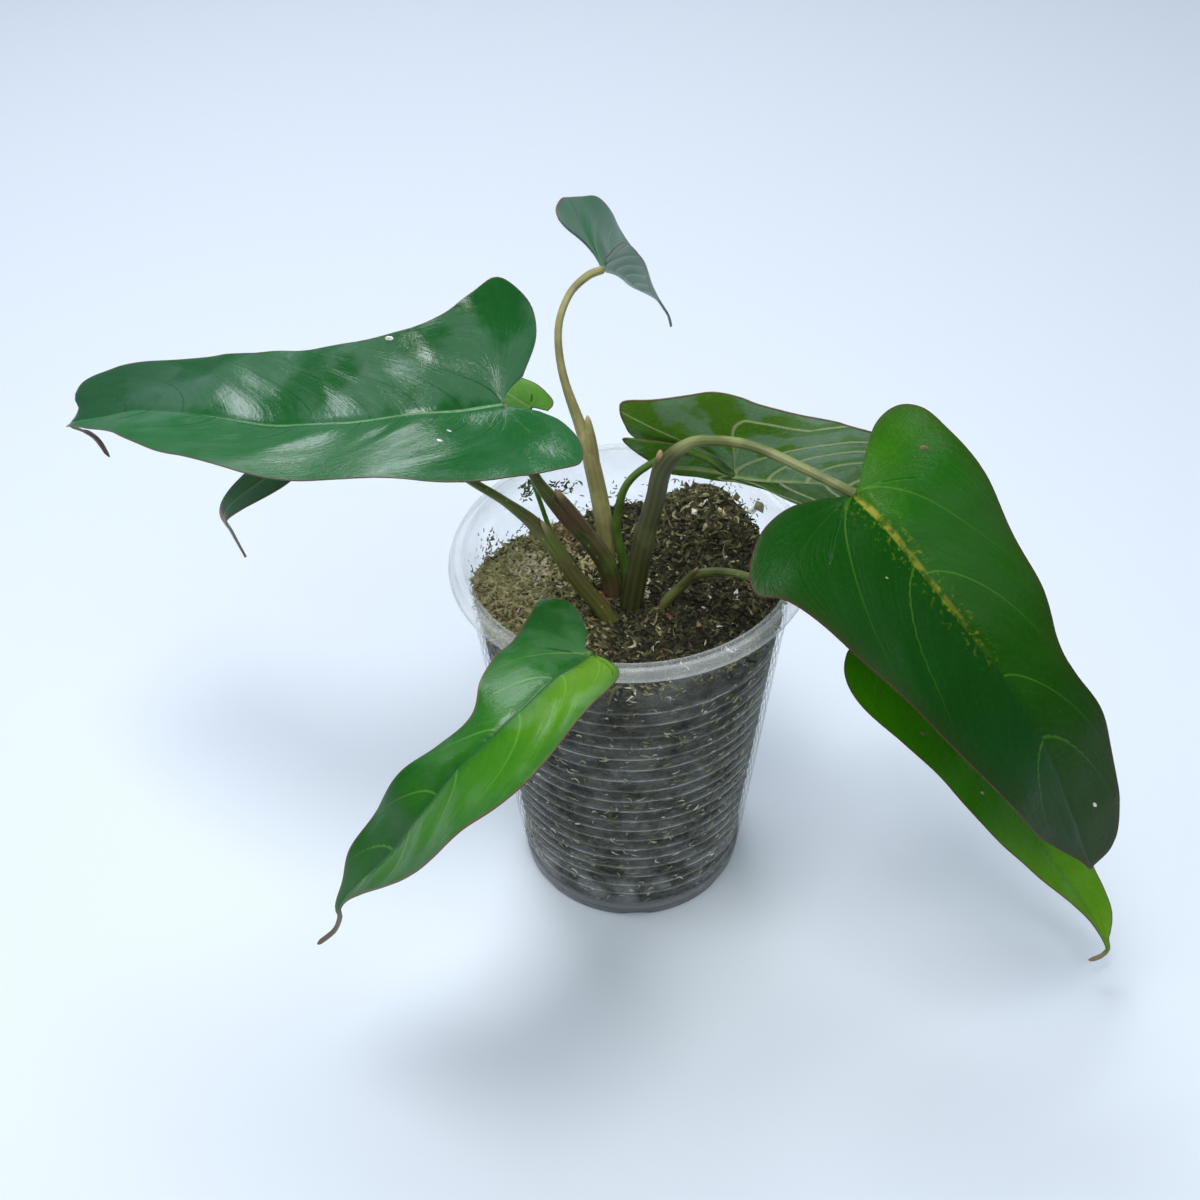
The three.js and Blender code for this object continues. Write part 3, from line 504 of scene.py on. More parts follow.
def ringsAlong(line, radii, sides, flatten=1.0):
    tangents = unit(np.gradient(line, axis=0))
    normal = np.array([0.0, 1.0, 0.0])
    turns = 2 * np.pi * np.arange(sides) / sides
    rings = []
    for centre, tangent, radius in zip(line, tangents, radii):
        normal = unit(normal - tangent * (normal @ tangent))
        side = np.cross(tangent, normal)
        ring = (np.cos(turns)[:, None] * normal * flatten + np.sin(turns)[:, None] * side) * radius
        rings.append(centre + ring)
    return np.array(rings)


# A closed tube: side faces between the rings and a flat cap at each end.
def tubeParts(rings):
    steps, sides = rings.shape[:2]
    faces = []
    for i in range(steps - 1):
        for k in range(sides):
            turned = (k + 1) % sides
            faces.append([i * sides + k, i * sides + turned, (i + 1) * sides + turned, (i + 1) * sides + k])
    faces.append(list(range(sides))[::-1])
    faces.append([(steps - 1) * sides + k for k in range(sides)])
    return rings.reshape(-1, 3), faces


def joinParts(parts):
    points, faces, shift = [], [], 0
    for partPoints, partFaces in parts:
        points.append(partPoints)
        faces += [[corner + shift for corner in face] for face in partFaces]
        shift += len(partPoints)
    return np.vstack(points), faces


def addPetiole(name, leaf, material):
    stalk = leaf["petiole"]
    build = petioleBuild
    sides = build["sides"]
    length = lengthsAlong(smoothLine(stalk["points"], build["measureSteps"]))[-1]
    steps = max(build["fewestSteps"], int(length / build["stepLength"]))
    line = smoothLine(stalk["points"], steps)
    share = np.linspace(0, 1, steps)
    rings = ringsAlong(line, spread(stalk["radii"], share), sides)
    turns = 2 * np.pi * np.arange(sides) / sides
    ridge = np.ones(sides)
    for count, depth, shift in build["ridges"]:
        ridge = ridge + depth * np.cos(count * turns + shift)
    rings = line[:, None] + (rings - line[:, None]) * ridge[None, :, None]
    parts = [tubeParts(rings)]
    turned = [np.tile(turns, steps)]
    sheathed = [np.repeat(1 - ease(*build["sheathFade"], share - stalk.get("sheathShare", -1)), sides)]
    sheathEdge = [np.zeros(steps * sides)]
    if "sheathTip" in stalk:
        sheathSteps = build["sheathSteps"]
        start = np.array(stalk["points"][stalk["sheathFrom"]], float)
        tip = np.array(stalk["sheathTip"], float)
        reach = smoothLine([start, start * 0.5 + tip * 0.5, tip], sheathSteps)
        wide = stalk["radii"][stalk["sheathFrom"]] * build["sheathWidth"]
        part = np.linspace(0, 1, sheathSteps)
        rounded = np.sqrt(build["bluntEnd"] - part) / build["bluntWidth"]
        blunt = np.where(part > build["bluntFrom"], rounded, 1)
        sheathRadii = wide * (1 - build["sheathTaper"] * part**build["sheathTaperPower"]) * blunt
        parts.append(tubeParts(ringsAlong(reach, sheathRadii, sides, build["sheathFlat"])))
        turned.append(np.tile(turns, sheathSteps))
        sheathed.append(np.ones(sheathSteps * sides))
        sheathEdge.append(np.repeat(ease(*build["paleTip"], part), sides))
    points, faces = joinParts(parts)
    attributes = {
        "turn": np.concatenate(turned),
        "sheathed": np.concatenate(sheathed),
        "sheathEdge": np.concatenate(sheathEdge),
    }
    addPiece(name + "_petiole_skin", points, faces, material, [name + "_petiole"], attributes)


# Fleshy leaf stalk: smooth, slightly waxy skin, olive with purplish brown on the sheath and a few
# pale lenticels about 1 mm long.
def stalkSkin(name, look):
    material, tree, shader = newMaterial(name)
    place = addNode(tree, "ShaderNodeTexCoord").outputs["Object"]
    turn, sheathed, tip = [addNode(tree, "ShaderNodeAttribute", {"attribute_name": key}).outputs["Fac"]
                           for key in ("turn", "sheathed", "sheathEdge")]
    # Green and darker patches 9 mm across, purple ones 17 mm across.
    broad = addNode(tree, "ShaderNodeTexNoise", inputs={"Vector": place, "Scale": 110.0, "Detail": 3.0})
    shade = addNode(tree, "ShaderNodeMapRange", smoothStep, {0: broad.outputs[0], 1: 0.38, 2: 0.62})
    colour = addNode(tree, "ShaderNodeMix", colourMix,
                     {0: shade.outputs[0], 6: linear(look["dark"]), 7: linear(look["green"])}).outputs[2]
    purple = addNode(tree, "ShaderNodeTexNoise", inputs={"Vector": place, "Scale": 60.0, "Detail": 2.0})
    purpleShare = addNode(tree, "ShaderNodeMapRange", smoothStep,
                          {0: purple.outputs[0], 1: look["purpleFrom"], 2: look["purpleFrom"] + 0.22,
                           4: look["purpleAmount"]})
    onSheath = addNode(tree, "ShaderNodeMath", {"operation": "MULTIPLY"},
                       {0: purpleShare.outputs[0], 1: sheathed})
    colour = addNode(tree, "ShaderNodeMix", colourMix,
                     {0: onSheath.outputs[0], 6: colour, 7: linear(look["purple"])}).outputs[2]
    # Lengthwise streaks, nine to a turn.
    streak = addNode(tree, "ShaderNodeMath", {"operation": "MULTIPLY"}, {0: turn, 1: 9.0})
    streak = addNode(tree, "ShaderNodeMath", {"operation": "SINE"}, {0: streak.outputs[0]})
    streakShare = addNode(tree, "ShaderNodeMapRange", inputs={0: streak.outputs[0], 1: -1.0, 4: 0.16})
    colour = addNode(tree, "ShaderNodeMix", colourMix,
                     {0: streakShare.outputs[0], 6: colour, 7: linear(look["streak"])}).outputs[2]
    # Lenticels, one to each cell of 3 mm, longer than wide.
    stretched = addNode(tree, "ShaderNodeMapping", inputs={"Vector": place, "Scale": (1.0, 1.0, 0.45)})
    spots = addNode(tree, "ShaderNodeTexVoronoi", inputs={"Vector": stretched.outputs[0], "Scale": 330.0})
    spot = addNode(tree, "ShaderNodeMapRange", smoothStep,
                   {0: spots.outputs["Distance"], 1: 0.12, 2: 0.05, 4: 0.5})
    colour = addNode(tree, "ShaderNodeMix", colourMix,
                     {0: spot.outputs[0], 6: colour, 7: linear(look["lenticel"])}).outputs[2]
    colour = addNode(tree, "ShaderNodeMix", colourMix,
                     {0: tip, 6: colour, 7: linear(look["tip"])}).outputs[2]
    height = addNode(tree, "ShaderNodeMath", {"operation": "MULTIPLY_ADD"},
                     {0: streak.outputs[0], 1: 0.25, 2: broad.outputs[0]})
    bump = addNode(tree, "ShaderNodeBump",
                   inputs={"Strength": 0.35, "Distance": 0.0003, "Height": height.outputs[0]})
    tree.links.new(colour, shader.inputs["Base Color"])
    tree.links.new(bump.outputs[0], shader.inputs["Normal"])
    shader.inputs["Roughness"].default_value = 0.42
    shader.inputs["IOR"].default_value = 1.45
    return material


# Leaves. A margin runs from the sinus round the lobe to the tip, as reach and width. veins is where the
# lateral veins leave the midrib, fold is in degrees and curl in degrees to a millimetre, both from base to
# tip. quilt, uneven and ripple are heights, and sweep is how far the lobe's veins fan.
leftLeaf = dict(
    midrib=[(-30, 1, 161), (-49, -5.5, 163), (-74.5, -4.5, 161), (-101.5, 3.5, 158), (-121.5, 12.5, 154),
            (-141.5, 18, 148), (-140.5, 21.5, 143), (-139.5, 24.5, 138), (-138.5, 25.5, 132)],
    bladeEnd=5, flatFrom=106, up=[(0, -0.3, 0.95), (0, -0.14, 1), (-0.25, -0.05, 1)],
    left=dict(veins=[8, 16, 24, 34, 50, 72, 92], fold=[4, 6, 4], margin=[
        (-8, 4), (-12.5, 7.5), (-15, 14), (-13.5, 20.5), (-8, 22.5), (8, 23), (30, 20.5),
        (60, 18.5), (80, 14), (95, 10.5), (109, 5), (118, 1.5), (126, 0.8), (136, 0.6)]),
    right=dict(veins=[10, 20, 32, 46, 62, 82, 100], fold=[8, 6, 4], curl=[0.3, 0.1, 0], margin=[
        (-7, 7), (-13, 17), (-14.5, 26), (-11, 32.5), (-6.5, 35), (0, 31.5), (8, 27), (24, 24),
        (54, 23), (88, 20.5), (104, 20), (111, 19.8), (115.6, 18.4), (119.7, 16.9), (121.9, 14.7),
        (122, 11.5), (121.3, 7.9), (120.3, 3.2), (123, 1), (129, 0.8), (136, 0.6)]),
    petiole=dict(
        points=[(-4.6, 5, 84), (-4.5, 5, 97), (-6, 5, 106), (-10, 4.5, 115), (-16.5, 4, 125), (-23, 3, 136.5),
                (-27, 2, 150), (-30, 1, 160.6)],
        radii=[2.8, 2.8, 2.7, 2.6, 2.4, 1.4, 1.3, 1.3],
        sheathFrom=3, sheathTip=(-18.6, 2, 134.5), sheathShare=0.62),
    sweep=24, veinSpan=14, lobeVeins=3, quilt=0.45, uneven=1.7, unevenScale=24.0,
    ripple=0.3, rippleEvery=34.0, ribSize=1.1, seed=1)

rightLeaf = dict(
    midrib=[(52, -20, 147.5), (60, -29, 142.5), (70.5, -40, 132.5), (82.5, -51, 120.5), (95, -60, 103),
            (113.5, -66, 62)],
    up=[(0.25, -0.75, 0.6), (0.3, -0.75, 0.55), (0.4, -0.8, 0.4)],
    left=dict(veins=[25, 55, 73], fold=[5, 5], margin=[
        (-4.5, 7), (-9.5, 15.5), (-9.5, 22.5), (-5, 26.5), (3, 27), (15, 26), (29, 22.5),
        (44, 20), (57, 15.3), (65, 14.7), (78, 16.5), (97, 14.5), (112, 11.5), (118.5, 7), (120, 0.7)]),
    right=dict(veins=[22, 74], fold=[5, 5], margin=[
        (-3.5, 6.5), (-6.7, 15), (-6, 24), (-1, 32), (4.5, 35), (10, 31), (20, 28),
        (37, 24.5), (55, 21.5), (71, 18), (94, 12), (105, 7.5), (115, 2.5), (120, 0.7)]),
    petiole=dict(
        points=[(0, 0, 84), (0.3, 0, 95), (2, 0, 108), (4, 0, 120), (6.5, 0, 131.5), (8.7, 0, 142),
                (14, -1, 149), (20.5, -3, 151.5), (29.5, -8, 153), (40, -14, 151), (49, -19, 148.6),
                (52, -20, 147.2)],
        radii=[3.1, 3.1, 2.9, 2.7, 2.5, 2.3, 1.5, 1.3, 1.25, 1.2, 1.2, 1.2],
        sheathFrom=4, sheathTip=(7.8, 0, 147), sheathShare=0.5),
    sweep=27, veinSpan=22, lobeVeins=3, quilt=0.35, uneven=0.9,
    ripple=0.25, rippleEvery=40.0, ribSize=1.15, seed=2)

frontLeaf = dict(
    midrib=[(-11, -48, 124.5), (-19, -59, 128), (-29, -70, 126.5), (-41.5, -78, 118), (-55, -81, 99.5),
            (-70.5, -80, 77.5), (-72, -81, 72), (-74, -82, 68), (-78.5, -83, 64)],
    bladeEnd=5, up=[(-0.3, -0.2, 0.9), (-0.5, -0.3, 0.75), (-0.6, -0.5, 0.55)],
    left=dict(veins=[12, 26, 44, 64, 84], fold=[8, 10], margin=[
        (1, 6.5), (6, 12), (13, 15), (24, 15.3), (39, 16.8), (48, 14.8), (61, 11.7),
        (77, 6.6), (88, 3), (96, 1), (103, 0.8), (112, 0.6)]),
    right=dict(veins=[14, 32, 52, 72], fold=[8, 10], margin=[
        (-8, 6), (-14.5, 13), (-17, 19), (-13, 23.5), (-4, 20), (6, 17), (16, 15.6), (26, 12),
        (34, 7.3), (45, 8.3), (57, 10.7), (70, 10.2), (85, 7.5), (94, 3), (103, 0.8), (112, 0.6)]),
    petiole=dict(
        points=[(-15.5, -13, 84), (-16, -14, 96), (-16.5, -24, 108), (-15, -33, 115.5), (-13, -41, 119.6),
                (-11.4, -46.3, 122.8), (-11, -48, 124.3)],
        radii=[1.3, 1.3, 1.2, 1.1, 1.1, 1.1]),
    sweep=14, veinSpan=16, lobeVeins=3, quilt=0.5, uneven=1.0,
    ripple=0.6, rippleEvery=30.0, ribSize=1.0, seed=3)

backRightLeaf = dict(
    midrib=[(28, 14, 129), (36, 12.5, 128.5), (50.5, 11, 127.5), (60, 10, 126.5), (75.5, 9, 123),
            (90, 8, 118)],
    lobeVeinBend=2.4, up=[(0.1, 0.96, 0.27), (0.1, 0.96, 0.27), (0.1, 0.9, 0.4)],
    left=dict(veins=[12, 24, 38, 52], fold=[-5, -5], lift=-3.4, overlap=-0.12, margin=[
        (-1.9, -1.6), (-7.5, -6.5), (-12.9, -10), (-19.9, -11.7), (-25, -12.6), (-29.2, -12.4),
        (-26.6, -7.9),
        (-22.1, -2.9), (-16.6, 2.7), (-8.7, 3.2), (-3.4, 3.2), (1.3, 2.6), (8.8, 4.5), (17.5, 9.3),
        (32, 12), (46, 11), (58, 6), (64, 0.7)]),
    right=dict(veins=[9, 19, 30, 42, 54], fold=[-5, -5], lift=1.5, margin=[
        (-3, 0.4), (-12, 2.6), (-20, 5.6), (-27.2, 9.3), (-29.3, 13.5), (-30.6, 19), (-29.5, 23.4),
        (-22.1, 26.9), (-13.5, 30.7), (-7.5, 33.4),
        (-0.8, 33.3), (5, 31.6), (17, 28), (30, 24), (43, 19), (56, 11), (62, 5), (64, 0.7)]),
    petiole=dict(
        points=[(-0.5, 8, 84), (-0.5, 8.5, 99), (-3, 11.5, 112), (-2, 12.5, 122), (0.5, 12, 129),
                (6, 10, 135.7), (13.5, 9, 140), (20, 9.3, 137.6), (24.3, 10.5, 133), (28.2, 13.6, 128.9)],
        radii=[1.4, 1.4, 1.2, 1.1, 1, 0.95, 0.95, 0.95, 0.9, 0.9]),
    sweep=20, veinSpan=10, lobeVeins=3, quilt=0.6, uneven=0.8,
    ripple=0.3, rippleEvery=30.0, ribSize=1.0, seed=4)

lowRightLeaf = dict(
    midrib=[(61, -30.5, 108), (75, -37.5, 95), (92, -44, 73), (107.5, -48.3, 50), (121.5, -52, 30),
            (132, -55.8, 13), (131.6, -57.4, 9.3), (127.5, -58.5, 8)],
    bladeEnd=5, up=[(0.3, -0.7, 0.6), (0.3, -0.7, 0.6), (0.4, -0.7, 0.5)],
    left=dict(veins=[20, 44, 70, 98], fold=[5, 5], margin=[
        (-6, 6), (-8, 12), (-2, 16), (15, 16), (40, 14), (66, 12.3), (86.5, 10.6), (98.8, 8.8),
        (106.4, 7.8), (113.6, 6.4), (117.5, 4.7), (120.3, 2.6), (122.5, 1), (130, 0.7)]),
    right=dict(veins=[20, 44, 70, 98], fold=[5, 5], margin=[
        (-5, 4.5), (-5.5, 8), (-2, 12.5), (6, 15), (20, 14.5), (38, 12), (55, 10.9), (65.4, 9.8),
        (76.8, 7.6), (86.9, 6.1), (95.3, 4.5), (103.9, 2.6), (111.2, 1.4), (120, 0.9), (130, 0.7)]),
    petiole=dict(
        points=[(8.5, -1, 84), (8.9, -1.2, 96), (13.4, -1.5, 103), (18.3, -4, 110), (26, -14.5, 119),
                (33.5, -24, 122.5), (41.5, -29.5, 120.5), (50.5, -31, 115), (61, -30.6, 108)],
        radii=[1.5, 1.4, 1.35, 1.3, 1, 0.95, 0.95, 0.95, 0.95],
        sheathFrom=2, sheathTip=(17.6, -5, 113), sheathShare=0.42),
    sweep=24, veinSpan=24, lobeVeins=2, quilt=0.35, uneven=0.8,
    ripple=0.3, rippleEvery=36.0, ribSize=0.9, seed=5)

underLeftLeaf = dict(
    midrib=[(-49, 6, 148), (-61.5, 9, 150), (-75, 9, 148), (-86, 7, 141.5), (-96, 4, 135.5), (-103, 1, 130.5),
            (-102, 0, 125), (-100, -1, 117.5)],
    bladeEnd=5, up=[(0, -0.3, 1), (-0.1, -0.3, 1), (-0.9, -0.4, 0.4)],
    left=dict(veins=[12, 26, 40], fold=[5, 5], margin=[
        (-8, 4), (-10, 9), (-4, 12), (8, 12), (22, 10), (34, 7), (44, 6.5), (51, 6), (58, 4.5),
        (64, 2.8), (69, 1.5), (73, 0.5)]),
    right=dict(veins=[12, 26, 40], fold=[5, 5], margin=[
        (-8, 5), (-10, 11), (-4, 14), (8, 14), (20, 12.5), (32, 9), (42, 6.5), (51, 6),
        (58, 4.5), (64, 2.4), (69, 1.3), (73, 0.5)]),
    petiole=dict(
        points=[(-5, -6, 84), (-5.6, -6, 95.5), (-14, -5, 110.5), (-22.5, -3, 125), (-31, -1, 133),
                (-40, 1, 139), (-46, 3, 144), (-49.1, 6, 147.7)],
        radii=[2.3, 2.2, 2.2, 2.1, 1.2, 1.05, 1.05, 1.05],
        sheathFrom=2, sheathTip=(-22.3, -5, 130), sheathShare=0.48),
    sweep=10, veinSpan=13, lobeVeins=2, quilt=0.3, uneven=0.6,
    ripple=0.3, rippleEvery=26.0, ribSize=0.8, seed=6)

topLeaf = dict(
    midrib=[(-5, 50, 170), (-0.5, 62, 161.6), (3.5, 75, 152), (8, 87, 142.6), (12, 97, 134.8),
            (14.5, 100, 129.6), (16, 101, 126.5), (17, 102, 122)],
    bladeEnd=4, lobeVeinBend=3, up=[(0.85, 0.5, 0.3), (0.93, 0.3, 0.2), (0.97, 0.1, 0.2)],
    left=dict(veins=[10, 20, 31, 43], fold=[8, 8], margin=[
        (-19.9, 11.1), (-16.5, 14), (-5.2, 19.9), (3.6, 21.6), (12.1, 22.9), (20.8, 23.5),
        (29, 20.7), (36.4, 16.8), (42.9, 13.3), (51.2, 9.8), (56, 4.7), (61.4, 1.5), (66, 0.8),
        (75, 0.6)]),
    right=dict(veins=[10, 20, 31, 43], fold=[100, 100, 90, 20], margin=[
        (-4, 3), (-4, 7), (0, 9), (10, 8.5), (20, 7), (32, 5), (45, 2.5), (59, 1), (66, 0.8),
        (75, 0.6)]),
    petiole=dict(
        points=[(-5.6, 12, 84), (-5.8, 12.5, 97), (-6, 13, 105), (-6.5, 15, 114), (-9, 20, 128),
                (-11.5, 25, 136), (-15.5, 31, 147), (-17, 36, 154.5), (-16.5, 40, 161), (-13.5, 45, 166),
                (-9, 48, 169), (-5, 50, 169.7)],
        radii=[2.5, 2.5, 2.5, 2.45, 2.3, 1.7, 1.15, 1.05, 1, 1, 1.1, 1.1],
        sheathFrom=4, sheathTip=(-10, 25, 141), sheathShare=0.44),
    sweep=10, veinSpan=10, lobeVeins=3, quilt=0.4, uneven=0.6,
    ripple=0.3, rippleEvery=26.0, ribSize=0.8, seed=7)

youngLeaf = dict(
    midrib=[(-25.5, 35, 137.5), (-33, 40, 140), (-40.5, 46, 142)],
    up=[(0, -0.3, 1), (0, -0.3, 1)],
    left=dict(veins=[5, 10], fold=[5, 5], margin=[
        (-4, 2.5), (-4, 5), (0, 6.5), (8, 6), (16, 3), (19.3, 0.7)]),
    right=dict(veins=[5, 10], fold=[5, 5], margin=[
        (-4.5, 2), (-4.5, 4.5), (-2.5, 6), (4, 7), (12, 5), (19.3, 0.7)]),
    petiole=dict(
        points=[(-20.5, 30.5, 82), (-20.8, 31, 92), (-23.6, 31.4, 105), (-26.3, 31.4, 117.9),
                (-27.2, 34, 127.5), (-25.5, 35, 137.3)],
        radii=[0.8, 0.75, 0.7, 0.65, 0.6, 0.6]),
    sweep=4, veinSpan=5, lobeVeins=1, quilt=0.15, uneven=0.3,
    ripple=0.15, rippleEvery=12.0, ribSize=0.5, seed=8)

# Tones of each half run from the basal lobe to the tip.
leafLook = dict(
    leftTones=["#1f6a24", "#1c6122"], rightTones=["#1f6a24", "#1c6122"], wander=0.5,
    ribCreaseShade="#174f20", ribCreaseShadeAmount=0.0, nearEdge="#174f20", nearEdgeAmount=0.0,
    vein="#5e9a3e", veinWidth=0.45, veinAmount=0.4, rib="#86a95a", ribWidth=1.0, ribAmount=0.7,
    ribAmountAtEnd=0.5, ribEnd=1.0, ribBroken=0.3, underAmount=0.5, underGreen="#6d8f3a", underVein="#a8bb6a",
    edge="#6d4438", edgeWidth=0.5, dry="#6b4632", dryFrom=1.04,
    # The sheen tone and its shares paint a silvery reflection into the leaf colour.
    paintedSheen="#a9c6bb", sheenPatchSize=16.0, sheenFrom=0.62, sheenLeft=0.0, sheenRight=0.0, sheenEnd=1.1,
    sheenBands=0.0,
    fleck="#8f9f1a", fleckAmount=0.0, fleckReach=0.26, fleckEnd=0.48,
    roughness=0.24, specular=0.5, bump=0.3)

plantLeaves = [
    ("left_leaf", leftLeaf, "dark_leaf", dict(
        leftTones=["#226b2e", "#1b6227", "#20682c", "#257034"],
        rightTones=["#115a1a", "#12591d", "#165d24", "#135022"],
        vein="#0d4417", veinAmount=0.6, veinWidth=0.4, rib="#7ba56c", ribWidth=0.45, ribAmount=0.8,
        ribAmountAtEnd=0.0, ribEnd=0.8, edge="#574836", sheenLeft=0.03, sheenRight=0.08, sheenFrom=0.54,
        sheenEnd=1.0, sheenPatchSize=24.0, dry="#5b3829", roughness=0.12)),
    ("right_leaf", rightLeaf, "mottled_leaf", dict(
        leftTones=["#4b8a04", "#1f620a", "#1f560a", "#214c10", "#3a4c2e"],
        rightTones=["#13560f", "#144e0c", "#14480f", "#194c18", "#374b2e"],
        vein="#5c8c2c", veinAmount=0.36, veinWidth=0.42, rib="#a09a34", ribAmount=0.9, ribBroken=0.85,
        ribAmountAtEnd=0.0, ribEnd=0.42, nearEdge="#3f3d24", nearEdgeAmount=0.25, edge="#54302c",
        fleckAmount=0.55, roughness=0.2, specular=0.1)),
    ("front_leaf", frontLeaf, "bright_leaf", dict(
        leftTones=["#76a810", "#62960f", "#3c800e", "#357a08", "#2e7004"],
        rightTones=["#175422", "#1d6418", "#2f7a12", "#185e0a", "#1e6a0c"],
        # The dark midrib line and the band beside it are painted shade in the sunken midrib crease.
        ribCreaseShade="#124f22", ribCreaseShadeAmount=0.3, nearEdge="#17601a", nearEdgeAmount=0.5,
        vein="#7fb548", veinAmount=0.3, rib="#14502a", ribWidth=0.7, ribAmount=0.85, ribAmountAtEnd=0.2,
        paintedSheen="#b6d2b8", sheenLeft=0.08, sheenRight=0.05, sheenFrom=0.58, sheenEnd=0.62, dry="#6f6450",
        dryFrom=1.03, roughness=0.18, specular=0.32)),
    ("back_right_leaf", backRightLeaf, "leaf_underside", dict(
        leftTones=["#4a7a1c", "#447c30", "#3f763e"], rightTones=["#5a981c", "#589a22", "#5c9836"],
        underAmount=0.3, underGreen="#7aa83a", underVein="#ccd89a", vein="#8fb04c", veinAmount=1.0,
        veinWidth=0.8, rib="#c6d490", ribAmount=0.95, paintedSheen="#a9c8ba", sheenRight=0.5, sheenLeft=0.05,
        sheenFrom=0.63, sheenBands=0.36, sheenPatchSize=14.0, roughness=0.22)),
    ("low_right_leaf", lowRightLeaf, "bright_leaf", dict(
        # Its lighter base tones are painted light, lifting the right leaf's shadow over the base.
        leftTones=["#58b012", "#46980c", "#3f8c08", "#5a9e00", "#74ae00"],
        rightTones=["#58b012", "#46980c", "#3e8a08", "#589a00", "#72aa00"],
        vein="#4f8f24", veinAmount=0.3, rib="#3f8020", ribAmount=0.3, roughness=0.24, specular=0.09,
        dry="#a08a6a", dryFrom=1.02)),
    ("under_left_leaf", underLeftLeaf, "dark_leaf", dict(
        leftTones=["#4a8054", "#4c7c56"], rightTones=["#4a8054", "#4c7c56"], underGreen="#6f9276",
        veinAmount=0.15, dry="#7c6248", dryFrom=0.98, roughness=0.3)),
    ("top_leaf", topLeaf, "grey_leaf", dict(
        leftTones=["#2a6c34", "#42764e", "#4a7c58", "#437650"], rightTones=["#3a6e48", "#3a6e48"],
        underGreen="#5a8a66", underVein="#8fae98", vein="#7fa188", rib="#7fa188", veinAmount=0.5,
        roughness=0.32, dry="#5c7a60", dryFrom=1.3)),
    ("young_leaf", youngLeaf, "young_leaf", dict(
        leftTones=["#4a9210", "#589e12"], rightTones=["#4a9210", "#66a618"], roughness=0.36, specular=0.3)),
]

stalkLook = dict(green="#747a3a", dark="#525a28", purple="#65503a", purpleAmount=0.5, purpleFrom=0.4,
                 streak="#8f9150", lenticel="#c2b88c", tip="#b79a72")
plantStalks = dict(
    left_leaf=dict(green="#5c6a2c", dark="#3d4c1c", purple="#6e4c3c", purpleAmount=0.75, streak="#86805a"),
    # The right leaf's dark olive sheath tone over most of its base is painted shade, where the base stands in
    # shadow.
    right_leaf=dict(green="#848a54", dark="#5c6634", purple="#3a3c1f", purpleAmount=0.92, purpleFrom=0.2),
    front_leaf=dict(green="#5f8030", dark="#42631f", purpleAmount=0.2, streak="#7f9a3f"),
    back_right_leaf=dict(green="#5a7a2c", dark="#395818", purpleAmount=0.2, streak="#7f9a3f"),
    low_right_leaf=dict(green="#6d7842", dark="#4c582a", purpleAmount=0.25),
    under_left_leaf=dict(green="#66762e", dark="#4a5c1e", purple="#74583c", purpleAmount=0.45),
    top_leaf=dict(green="#a39c62", dark="#7c7a44", purple="#75603e", purpleAmount=0.4, streak="#b3ab74"),
    young_leaf=dict(green="#5f8a30", dark="#42701f", purpleAmount=0.0, streak="#7f9a3f"),
)

for name, leaf, slot, change in plantLeaves:
    plainName = name.replace("_", " ")
    look = dict(leafLook, veinSpan=leaf["veinSpan"], **change)
    addBlade(name, leaf, leafTissue(plainName + " tissue", look))
    addPetiole(name, leaf, stalkSkin(plainName + " stalk", {**stalkLook, **plantStalks[name]}))
print("leaves and petioles built")


# Cup: the same section as the imported cup, with softer ribs and a rolled lip. A rib is a row of heights
# from its middle, rises as shares of its depth and, outside, frost with painted glint on the crest.
cupShape = dict(
    height=117.0, rimRadius=47.5, mouthRadius=43.6, wallTopRadius=43.2, footRadius=33.5, wall=0.8,
    lipDrop=2.9, ribs=19, ribPitch=4.7, firstRib=13.0, ribDepth=0.45, insideRibDepth=0.27, floor=3.4,
    notches=7, notchWidth=9.0, notchHeight=1.3, notchTurn=0.25, footRingWidth=3.2, footRingTop=1.0,
    segments=168)
ribOutside = [(-1.6, 0.0, 0.0), (-0.6, 0.0, 0.0), (-0.32, 0.55, 0.2), (-0.1, 0.97, 1.0), (0.1, 0.97, 1.0),
              (0.32, 0.55, 0.2), (0.6, 0.0, 0.0)]
ribInside = [(1.0, 0.0), (0.4, 0.5), (0, 0.8), (-0.4, 0.5), (-1.0, 0.0)]


def wallRadius(z):
    c = cupShape
    return c["footRadius"] + (c["wallTopRadius"] - c["footRadius"]) * z / (c["height"] - c["lipDrop"])
